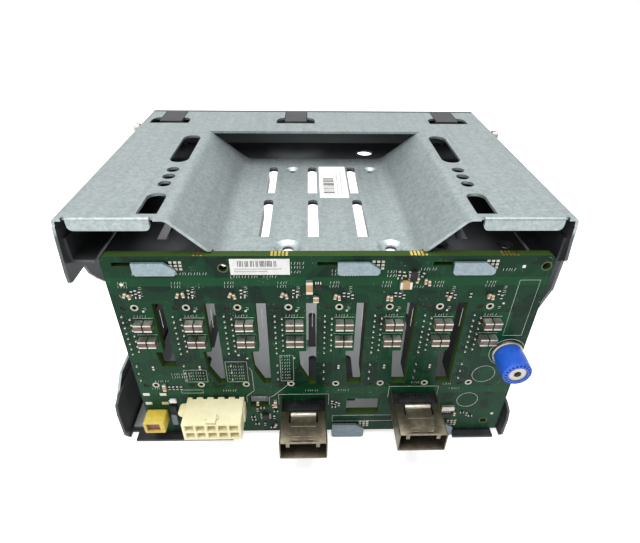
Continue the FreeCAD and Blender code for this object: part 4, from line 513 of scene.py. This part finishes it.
def chip(across, up, stand, ends=0.0, level=False, bevel=0.08):
    """A soldered block with its back at the origin.

    With ends it has metal ends of that length, above and below or, lying level, at left and right.
    """
    clear()
    bpy.ops.mesh.primitive_cube_add(size=1, location=(0, -stand / 2 * MM, 0))
    made = bpy.context.object
    made.scale = (across * MM, stand * MM, up * MM)
    bpy.ops.object.transform_apply(location=True, rotation=True, scale=True)
    bpy.ops.object.mode_set(mode="EDIT")
    bpy.ops.mesh.select_all(action="SELECT")
    bpy.ops.mesh.bevel(offset=bevel * MM, segments=2, affect="EDGES")
    edge = ((across if level else up) / 2 - ends) * MM
    if ends:
        for side in (-1, 1):
            bpy.ops.mesh.select_all(action="SELECT")
            cut = (side * edge, 0, 0) if level else (0, 0, side * edge)
            bpy.ops.mesh.bisect(plane_co=cut, plane_no=(1, 0, 0) if level else (0, 0, 1))
    bpy.ops.object.mode_set(mode="OBJECT")
    if ends:
        wear(made, (None, None))
        for face in made.data.polygons:
            face.material_index = int(abs(face.center.x if level else face.center.z) > edge)
    return made


def land(inner, outer):
    """A tinned ring round a hole."""
    clear()
    bpy.ops.mesh.primitive_cylinder_add(vertices=24, radius=outer * MM, depth=LAND_RISE * MM,
                                        location=(0, -LAND_RISE / 2 * MM, 0), rotation=(math.pi / 2, 0, 0))
    made = bpy.context.object
    bpy.ops.object.transform_apply(location=True, rotation=True, scale=True)
    bpy.ops.object.mode_set(mode="EDIT")
    bpy.ops.mesh.select_mode(type="FACE")
    pick(made, lambda face: abs(face.normal.y) > 0.9)
    bpy.ops.mesh.inset(thickness=(outer - inner) * MM)
    bpy.ops.mesh.bridge_edge_loops()
    bpy.ops.mesh.select_all(action="SELECT")
    bpy.ops.mesh.normals_make_consistent(inside=False)
    bpy.ops.object.mode_set(mode="OBJECT")
    return made


def pick(thing, chosen):
    """Selects the faces of the piece being edited that the test picks."""
    bpy.ops.mesh.select_all(action="DESELECT")
    bpy.ops.object.mode_set(mode="OBJECT")
    for face in thing.data.polygons:
        face.select = chosen(face)
    bpy.ops.object.mode_set(mode="EDIT")


def copies(pattern, spots, looks):
    """Copies of a pattern at (x, z) or (x, z, turn) on the board's rear face, joined in one piece."""
    clear()
    wear(pattern, looks)
    made = []
    for spot in spots:
        x, z = spot[:2]
        turn = math.radians(spot[2]) if len(spot) > 2 else 0
        one = pattern.copy()
        one.data = pattern.data.copy()
        one.data.transform(Matrix.Translation(Vector((x, REAR, z)) * MM) @ Matrix.Rotation(turn, 4, "Y"))
        bpy.context.scene.collection.objects.link(one)
        made.append(one)
    bpy.data.objects.remove(pattern)
    for one in made:
        one.select_set(True)
    bpy.context.view_layer.objects.active = made[0]
    if len(made) > 1:
        bpy.ops.object.join()
    return made[0]


def at_bays(rows):
    """Places given from a bay's ring hole: (bays, across, up) or (bays, across, up, turn)."""
    return [(BAYS[bay] + row[1], RING_UP + row[2], *row[3:]) for row in rows for bay in row[0]]


# tan capacitors: leaning pairs above each bay's ring hole, then the odd ones of the board
TAN_CAPS = at_bays([
    ((0, 2, 3), -1.9, 5.8, 24), ((0, 2, 3), -0.5, 5.2, -14), ((1,), -1.9, 5.7, 20), ((1,), 0.0, 5.9, -8),
    ((4, 7), -1.5, 4.9, 12), ((4, 7), -0.2, 4.4, -6), ((5,), -1.1, 4.2, 4), ((5,), 0.1, 4.0, -4),
    ((6,), 2.4, 4.2, 14),
]) + [(32.8, 81.6, 10), (35.6, 81.1), (36.9, 80.4, -8), (-23.6, 20.8), (-17.0, 6.6, 20), (57.2, 12.9)]
# dark resistors with bright ends, in the same order
RESISTORS = at_bays([
    ((0, 1, 2, 3), 1.9, 6.9), ((0, 1, 2, 3), 3.1, 6.3), ((0, 1, 2, 3), 2.3, 4.7, 90),
    ((4, 5, 6), 1.4, 5.6), ((4, 5, 6), 2.9, 5.4), ((4, 5, 6), 4.3, 4.7),
    ((7,), -7.8, 5.1), ((7,), 1.6, 6.1), ((7,), 2.9, 4.3), ((0,), 0.6, 6.5),
]) + [(-57.2 + 1.5 * step, 30.0) for step in range(4)] + [
    (26.6, 84.2), (28.1, 84.0), (29.4, 83.2, 90), (26.9, 82.3, 90), (34.4, 83.6, 20),
    (-26.0, 12.0, 90), (-25.8, 10.2, 90), (-24.0, 16.4), (-21.9, 17.6, 90), (-17.6, 18.6),
    (-16.6, 15.4, 90), (-17.4, 11.6), (-24.6, 7.4, 90), (-21.4, 7.2), (-18.4, 5.0, 90),
    (6.2, 20.6), (7.7, 20.0, 20), (9.0, 19.2), (7.0, 17.8, 90), (60.4, 13.4, 90), (62.4, 12.4),
    (64.2, 11.2, 90), (49.9, 12.6), (-62.4, 13.0, 90),
]
DOTS = at_bays([(range(7), 2.7, -1.6), ((7,), 4.4, 1.3), ((0, 1, 4, 5, 6), 0.7, -28.7),
                ((0, 1, 4, 5, 6), 0.7, -29.9), ((2, 3), 1.5, -24.4), ((2,), -1.6, -22.7)])
# squares of three by three pads
PADS = [(x + 1.5 * column, z + 1.3 * row)
        for x, z in ((-47.0, 85.9), (17.9, 86.0), (55.0, 86.2), (18.4, 5.2), (55.6, 5.2))
        for column in range(3) for row in range(3)]
BARE_PADS = [(-67.0, 26.1), (-60.5, 26.0), (-67.0, 20.8), (-60.6, 20.7)]
FIDUCIALS = [(-64.3, 79.8), (67.1, 86.6), (73.3, 12.2)]
RING_HOLES = [(bay, RING_UP - row * RING_DROP) for bay in BAYS for row in (0, 1)]
CARD_HOLES = [(74.5, 86.7), (70.5, 7.7), (-30.6, 86.3)]


def small_parts():
    """Chip parts, pads and lands that the solids leave out."""
    for name, pattern, spots, looks, slot in (
        ("ring_lands", land(0.8, 1.35), RING_HOLES, [BONE], "solder"),
        ("card_hole_lands", land(1.4, 1.75), CARD_HOLES, [OLIVE], "solder"),
        ("tan_capacitors", chip(0.95, 2.0, 1.0, 0.45), TAN_CAPS, [TAN, SOLDER], "capacitor_ceramic"),
        ("resistors", chip(0.85, 1.7, 0.5, 0.36, bevel=0.05), RESISTORS, [BLACK, SOLDER], "black_moulding"),
        ("test_dots", chip(0.75, 0.75, 0.16, bevel=0.07), DOTS, [SOLDER], "solder"),
        ("test_pads", chip(1.0, 0.85, 0.12, bevel=0.05), PADS, [BONE], "solder"),
        ("bare_pads", chip(2.6, 1.5, 0.12, bevel=0.05), BARE_PADS, [SOLDER], "solder"),
        ("fiducials", chip(1.1, 1.1, 0.08, bevel=0.03), FIDUCIALS, [SOLDER], "solder"),
        ("upright_capacitor", chip(2.2, 4.9, 1.7, 1.0), [(-2.8, 79.1)], [TAN, SOLDER], "capacitor_ceramic"),
        ("lower_capacitor", chip(1.9, 2.4, 1.3, 0.5), [(-0.6, 73.9)], [TAN, SOLDER], "capacitor_ceramic"),
        ("corner_capacitor", chip(1.3, 3.4, 1.3, 0.7), [(-58.9, 30.7), (-16.5, 20.4)], [TAN, SOLDER],
         "capacitor_ceramic"),
        ("level_capacitor", chip(4.0, 2.8, 1.6, 0.8, level=True), [(29.1, 79.9)], [TAN, SOLDER],
         "capacitor_ceramic"),
        ("white_block", chip(3.0, 1.7, 1.0, 0.5, level=True), [(-57.1, 22.6)], [PAPER, SOLDER],
         "paper_label"),
        ("choke", chip(2.5, 3.6, 1.6, bevel=0.2), [(-57.4, 18.4)], [BLACK], "black_moulding"),
        ("crystal", chip(2.3, 6.0, 1.4, bevel=0.3), [(-58.0, 11.6)], [SLATE], "black_moulding"),
        ("silver_bar", chip(5.2, 2.3, 1.6, bevel=0.2), [(53.8, 16.9)], [STEEL], "solder"),
    ):
        dress(copies(pattern, spots, looks), name)
    for name, wide, tall, x, z, count, pitch in (
        ("driver_chip", 2.3, 3.7, 31.45, 83.3, 4, 0.95), ("sensor_chip", 2.4, 1.6, 0.1, 79.2, 3, 0.8),
        ("logic_chip", 3.0, 3.1, -20.9, 12.3, 4, 0.8), ("level_chip", 4.2, 2.4, 53.6, 12.3, 5, 0.8),
    ):
        packaged_chip(name, wide, tall, x, z, count, pitch)


def packaged_chip(name, wide, tall, x, z, count, pitch):
    """A moulded chip with rows of bent legs: at its sides if it is tall, else above and below."""
    upright = tall > wide
    dress(copies(chip(wide, tall, 1.2, bevel=0.16), [(x, z)], [BLACK]), name)
    leg = chip(0.42, 0.42, 0.7, bevel=0.06)
    bpy.context.view_layer.objects.active = leg
    bpy.ops.object.mode_set(mode="EDIT")
    pick(leg, lambda face: face.normal.x > 0.9)
    bpy.ops.mesh.extrude_region_move(TRANSFORM_OT_translate={"value": (0.5 * MM, 0.45 * MM, 0)})
    bpy.ops.object.mode_set(mode="OBJECT")
    spots = []
    for step in range(count):
        off = (step - (count - 1) / 2) * pitch
        if upright:
            spots += [(x + wide / 2, z + off, 0), (x - wide / 2, z + off, 180)]
        else:
            spots += [(x + off, z + tall / 2, -90), (x + off, z - tall / 2, 90)]
    dress(copies(leg, spots, [SOLDER]), f"{name}_legs")


def gold_fingers():
    """Combs of gilt patches on the board's upper edge."""
    wide, deep, thick, pitch, inset = 0.8, 2.6, 0.12, 1.2, 1.5
    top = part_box("backplane_board")[1].z / MM
    clear()
    bpy.ops.mesh.primitive_cube_add(size=1)
    finger = bpy.context.object
    finger.scale = (wide * MM, deep * MM, thick * MM)
    bpy.ops.object.transform_apply(location=True, rotation=True, scale=True)
    bpy.ops.object.mode_set(mode="EDIT")
    bpy.ops.mesh.select_all(action="SELECT")
    bpy.ops.mesh.bevel(offset=0.04 * MM, segments=2, affect="EDGES")
    bpy.ops.object.mode_set(mode="OBJECT")
    finger.data.transform(Matrix.Translation((0, inset * MM, 0)))
    spots = [(start + pitch * step, top) for start, count in ((-39.4, 3), (-14.8, 5), (29.9, 5), (59.4, 5))
             for step in range(count)]
    dress(copies(finger, spots, [GOLD]), "gold_fingers")


def port_ridges():
    """Two pressed ridges across the deck of each signal port."""
    for side in ("left", "right"):
        low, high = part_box(f"signal_port_shell_{side}")
        deck = high.z / MM - DECK_FALL
        ridge = copies(chip(9.5, 0.45, 0.5, bevel=0.12), [((low.x + high.x) / 2 / MM, deck)] * 2, [NICKEL])
        corners = ridge.data.vertices
        for index, corner in enumerate(corners):
            corner.co.y -= RIDGES[index * 2 // len(corners)] * MM
        dress(ridge, f"port_ridges_{side}")


def line_work(name, runs, width, look):
    """Printed lines: each run is a list of corners (x, y, z) in mm, closed if it ends where it starts."""
    curve = bpy.data.curves.new(name, "CURVE")
    curve.dimensions = "3D"
    curve.bevel_depth = width / 2 * MM
    curve.bevel_resolution = 0
    for run in runs:
        spline = curve.splines.new("POLY")
        spline.points.add(len(run) - 1)
        for point, (x, y, z) in zip(spline.points, run):
            point.co = (x * MM, y * MM, z * MM, 1)
        spline.use_cyclic_u = run[0] == run[-1]
    drawn = bpy.data.objects.new(name, curve)
    bpy.context.scene.collection.objects.link(drawn)
    take(drawn)
    bpy.ops.object.convert(target="MESH")
    dress(drawn, name, [look])


def on_face(runs, at=REAR):
    """Runs of corners (x, z) laid on an upright face, by default the board's rear one."""
    return [[(x, at, z) for x, z in run] for run in runs]


def box_run(left, right, low, high):
    """The corners of an upright rectangle."""
    return [(left, low), (right, low), (right, high), (left, high), (left, low)]


def circle_run(x, z, radius):
    """The corners of a fine polygon round a point."""
    sides = 24
    turns = [2 * math.pi * step / sides for step in range(sides)]
    return [(x + radius * math.cos(turn), z + radius * math.sin(turn)) for turn in turns + [0.0]]


def legend():
    """White outlines, brackets and tick marks of the board's legend; none of it is lettering."""
    runs = [
        box_run(-50.6, -42.0, 33.0, 39.5), box_run(-34.4, -26.4, 32.9, 43.8),
        box_run(-13.8, -8.9, 33.2, 46.9), box_run(67.3, 74.2, 56.2, 81.1),
        [(-25.8, 40.7), (-24.8, 38.9), (-24.6, 27.7), (-27.8, 24.4), (-27.8, 21.0)],
        [(-11.2, 33.2), (-11.6, 30.5), (-16.9, 24.8), (-19.0, 23.5), (-19.0, 19.4)],
        [(-15.2, 19.0), (-15.2, 25.3), (4.8, 25.3), (4.8, 19.0)],
        [(28.6, 23.0), (28.6, 29.4), (48.2, 29.4), (48.2, 23.0)],
        circle_run(64.6, 36.1, 4.4), circle_run(61.2, 21.0, 4.2), circle_run(70.9, 47.7, 6.6),
        box_run(6.6, 31.6, 8.2, 11.9), box_run(-53.0, -44.6, 26.6, 28.4),
    ]
    runs += [[(bay + 8.2, 61.0), (bay + 8.2, 69.0)] for bay in BAYS[:7]]
    line_work("legend_outlines", on_face(runs), 0.17, SILK)
    ticks = []
    for bay in BAYS:
        for low in (RING_UP - CAP_FALL, RING_UP - CAP_FALL - CAP_DROP):
            ticks.append([(bay - 1.6, low + 2.45), (bay + 5.4, low + 2.45)])
        for across, up, count in ((-0.9, -4.3, 5), (-3.4, 8.4, 4), (-3.2, 9.9, 4)):
            ticks += tick_row(bay + across, RING_UP + up, count)
        for across, up, count in ((3.0, 8.6, 5), (2.8, -0.2, 2)):
            ticks += tick_column(bay + across, RING_UP + up, count)
    for x, z, count in (
        (-60, 83.2, 6), (-45.6, 83.6, 5), (-41, 83.6, 6), (-28.4, 82.4, 6), (-22.6, 82.4, 4),
        (-17.6, 82.4, 5), (-8.6, 87.6, 5), (-8.6, 86.0, 5), (-8.6, 84.2, 4), (4.6, 84.6, 4),
        (4.6, 83.2, 4), (22.8, 84.2, 5), (22.8, 82.6, 5), (33.6, 85.2, 6), (30.4, 78.0, 6),
        (8.6, 82.9, 6), (45.6, 83.2, 6), (60.6, 84.9, 5), (-65.8, 74.6, 5), (-62, 33, 6),
        (-55.2, 36.8, 8), (-55.2, 35.2, 8), (-64, 29, 5), (-36.6, 27.4, 6), (-4.4, 27, 6),
        (8.6, 27, 5), (37.2, 31.2, 4), (49.8, 30.2, 4), (52.6, 27.6, 5), (-24.6, 23.2, 5),
    ):
        ticks += tick_row(x, z, count)
    for left, low, rows, count in ((-49.8, 34.2, 3, 8), (-33.4, 34.2, 5, 7), (-13.1, 34.4, 8, 4)):
        for row in range(rows):
            ticks += tick_row(left, low + 1.65 * row, count, tall=0.85)
    line_work("legend_ticks", on_face(ticks), 0.14, SILK)


def tick_row(x, z, count, tall=1.0):
    """A level row of short strokes, one upright and two slanted in turn."""
    return [[(x + TICK_PITCH * step, z), (x + TICK_PITCH * step + (0.35 if step % 3 else 0.0), z + tall)]
            for step in range(count)]


def tick_column(x, z, count):
    """An upright row of short strokes, level and slanted in turn."""
    return [[(x, z - TICK_PITCH * step),
             (x + TICK_WIDE, z - TICK_PITCH * step + (0.3 if step % 2 else 0.0))] for step in range(count)]


def label_bars():
    """Plain printed bars and rules on both labels, without any lettering."""
    low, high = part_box("board_label")
    wide = (high.x - low.x) / MM
    left, bottom, face = low.x / MM, low.z / MM, low.y / MM
    rng = random.Random(7)
    bars, x = [], left + 2.6
    while x < left + wide - 4.2:
        bars.append([(x, bottom + 3.2), (x, bottom + 5.4)])
        x += rng.choice((0.42, 0.56, 0.84))
    rules = [[(left + 1.2, bottom + up), (left + stop, bottom + up)]
             for up, stop in ((2.3, wide * 0.86), (1.3, wide * 0.62))]
    line_work("board_label_bars", on_face(bars, face), 0.24, INK)
    line_work("board_label_rules", on_face(rules, face), 0.30, FADED)
    low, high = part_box("cover_label")
    left, rear, front, top = low.x / MM, low.y / MM, high.y / MM, high.z / MM
    bars, y = [], rear + 3
    while y < front - 12:
        bars.append([(left + 1.6, y, top), (left + 6.2, y, top)])
        y += rng.choice((0.55, 0.75, 1.1))
    rules = [[(left + 7.6 + off, rear + 3, top), (left + 7.6 + off, front - 6, top)] for off in (0, 1.6)]
    line_work("cover_label_bars", bars, 0.30, INK)
    line_work("cover_label_rules", rules, 0.34, FADED)


# ---------------------------------------------------------------- softened copies and inner contacts


def softened(node, look, offset, flatten=True):
    """The node's own shape with its sharp edges rounded, which stands for the node."""
    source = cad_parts[node]
    piece = bpy.data.objects.new(f"{node}_dressed", source.data.copy())
    bpy.context.scene.collection.objects.link(piece)
    take(piece)
    bpy.ops.object.mode_set(mode="EDIT")
    bpy.ops.mesh.select_all(action="SELECT")
    bpy.ops.mesh.remove_doubles(threshold=0.000002)
    if flatten:
        bpy.ops.mesh.dissolve_limited(angle_limit=math.radians(1))
    bpy.ops.object.mode_set(mode="OBJECT")
    soft = piece.modifiers.new("soft_edges", "BEVEL")
    soft.width = offset * MM
    soft.segments = 2
    soft.limit_method = "ANGLE"
    soft.angle_limit = math.radians(50)
    soft.use_clamp_overlap = True
    bpy.ops.object.modifier_apply(modifier=soft.name)
    bpy.ops.object.shade_smooth_by_angle(angle=math.radians(40))
    dress(piece, f"{node}_dressed", [look])
    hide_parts(node)
    return piece


def contacts():
    """Gilt springs in the keyed slots of the drive connectors, a group of 7 and one of 13 in each."""
    pitch, off_middle, slot_deep, below = 1.27, 1.0, 3.2, 0.8
    spring = chip(0.35, 0.6, 5.4)
    low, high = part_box("drive_connector_1")
    middle = (low.x + high.x) / 2 / MM - BAYS[0]
    spots = [(bay + middle + off_middle, low.z / MM + start + pitch * step)
             for bay in BAYS for start, count in ((8.0, 7), (20.0, 13)) for step in range(count)]
    springs = copies(spring, spots, [GOLD])
    slot_floor = high.y / MM - slot_deep
    springs.data.transform(Matrix.Translation((0, (slot_floor - below - REAR) * MM, 0)))
    dress(springs, "drive_contacts")


small_parts()
gold_fingers()
port_ridges()
legend()
label_bars()
contacts()
softened("yellow_socket", YELLOW, 0.2)
for side in ("left", "right"):
    shell = softened(f"signal_port_shell_{side}", NICKEL, 0.1)
    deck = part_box(f"signal_port_shell_{side}")[1].z / MM - DECK_FALL
    # the strap stands on the deck
    two_looks(shell, NICKEL, STRAP, lambda face: (
        face.center.z / MM > deck + 0.02 and face.center.y / MM < REAR - STRAP_START))
for side in ("left", "right"):
    softened(f"signal_port_core_{side}", BLACK, 0.1)
header = softened("power_header", CREAM, 0.12, flatten=False)
latch_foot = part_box("power_header")[1].z / MM - LATCH_RISE
# the latch's faces that don't face up wear painted shade
two_looks(header, CREAM, CREAM_SHADE, lambda face: face.center.z / MM > latch_foot and face.normal.z < 0.9)


# ---------------------------------------------------------------- stage, light and camera


WHITE = (1, 1, 1, 1)
FLOOR_GLOW = 0.62       # what the floor shows of its own light
SKY_FILL = 0.42         # light from all round
REFLECTED_GLOW = 0.75   # the brightness of the surroundings in reflections
AIM = (0, 0, 0.05)      # what the lamps point at
EYE = (-3.049, -179.913, 170.82)        # the camera's place in mm
YAW, TILT, ROLL = 0.030, 0.611, 0.014   # its turns to the right, down and sideways, in radians
LENS, SENSOR = 26.01, 36                # its focal length and sensor width in mm


def stage():
    """White floor that keeps a soft shadow, and plain studio light."""
    bpy.ops.object.select_all(action="DESELECT")
    bpy.ops.mesh.primitive_plane_add(size=6, location=(0, 0, -0.0003))
    floor = bpy.context.object
    floor.name = "studio_floor"
    made = bpy.data.materials.new("studio_white")
    made.use_nodes = True
    tree = made.node_tree
    tree.nodes.clear()
    path = put(tree, "ShaderNodeLightPath").outputs
    seen = sums(tree, "MAXIMUM", path["Is Camera Ray"], sums(
        tree, "MAXIMUM", path["Is Glossy Ray"], path["Is Transmission Ray"]))
    matt = put(tree, "ShaderNodeBsdfDiffuse", {"Color": (0.86, 0.86, 0.86, 1)})
    glow = put(tree, "ShaderNodeEmission", {"Color": WHITE, "Strength": times(tree, seen, FLOOR_GLOW)})
    both = put(tree, "ShaderNodeAddShader", {0: matt.outputs[0], 1: glow.outputs[0]})
    end = tree.nodes.new("ShaderNodeOutputMaterial")
    tree.links.new(both.outputs[0], end.inputs["Surface"])
    floor.data.materials.append(made)

    world = bpy.data.worlds.new("studio")
    bpy.context.scene.world = world
    world.use_nodes = True
    tree = world.node_tree
    tree.nodes.clear()
    path = put(tree, "ShaderNodeLightPath").outputs
    seen = sums(tree, "MAXIMUM", path["Is Camera Ray"], path["Is Transmission Ray"])
    fill = sums(tree, "MAXIMUM", times(tree, path["Is Glossy Ray"], REFLECTED_GLOW), SKY_FILL)
    level = sums(tree, "MAXIMUM", seen, fill)
    air = put(tree, "ShaderNodeBackground", {"Color": WHITE, "Strength": level})
    end = tree.nodes.new("ShaderNodeOutputWorld")
    tree.links.new(air.outputs[0], end.inputs["Surface"])

    for name, spot, size, power in (
        ("top_panel", (0.0, -0.05, 0.95), 0.8, 12.0),
        ("left_panel", (-0.75, -0.65, 0.65), 0.6, 4.0),
    ):
        lamp = bpy.data.lights.new(name, "AREA")
        lamp.size = size
        lamp.energy = power
        holder = bpy.data.objects.new(name, lamp)
        bpy.context.scene.collection.objects.link(holder)
        holder.location = spot
        holder.rotation_euler = (Vector(AIM) - Vector(spot)).to_track_quat("-Z", "Y").to_euler()


def camera():
    """The camera above and behind the board."""
    forward = Vector((math.sin(YAW) * math.cos(TILT), math.cos(YAW) * math.cos(TILT), -math.sin(TILT)))
    right = Vector((math.cos(YAW), -math.sin(YAW), 0))
    over = right.cross(forward)
    side = math.cos(ROLL) * right + math.sin(ROLL) * over
    top = -math.sin(ROLL) * right + math.cos(ROLL) * over
    lens = bpy.data.cameras.new("camera")
    lens.sensor_width = SENSOR
    lens.lens = LENS
    lens.clip_start = 0.005
    holder = bpy.data.objects.new("camera", lens)
    bpy.context.scene.collection.objects.link(holder)
    turn = Matrix((side, top, -forward)).transposed().to_4x4()
    holder.matrix_world = Matrix.Translation(Vector(EYE) * MM) @ turn
    bpy.context.scene.camera = holder


stage()
camera()
bpy.context.scene.view_settings.view_transform = "Standard"
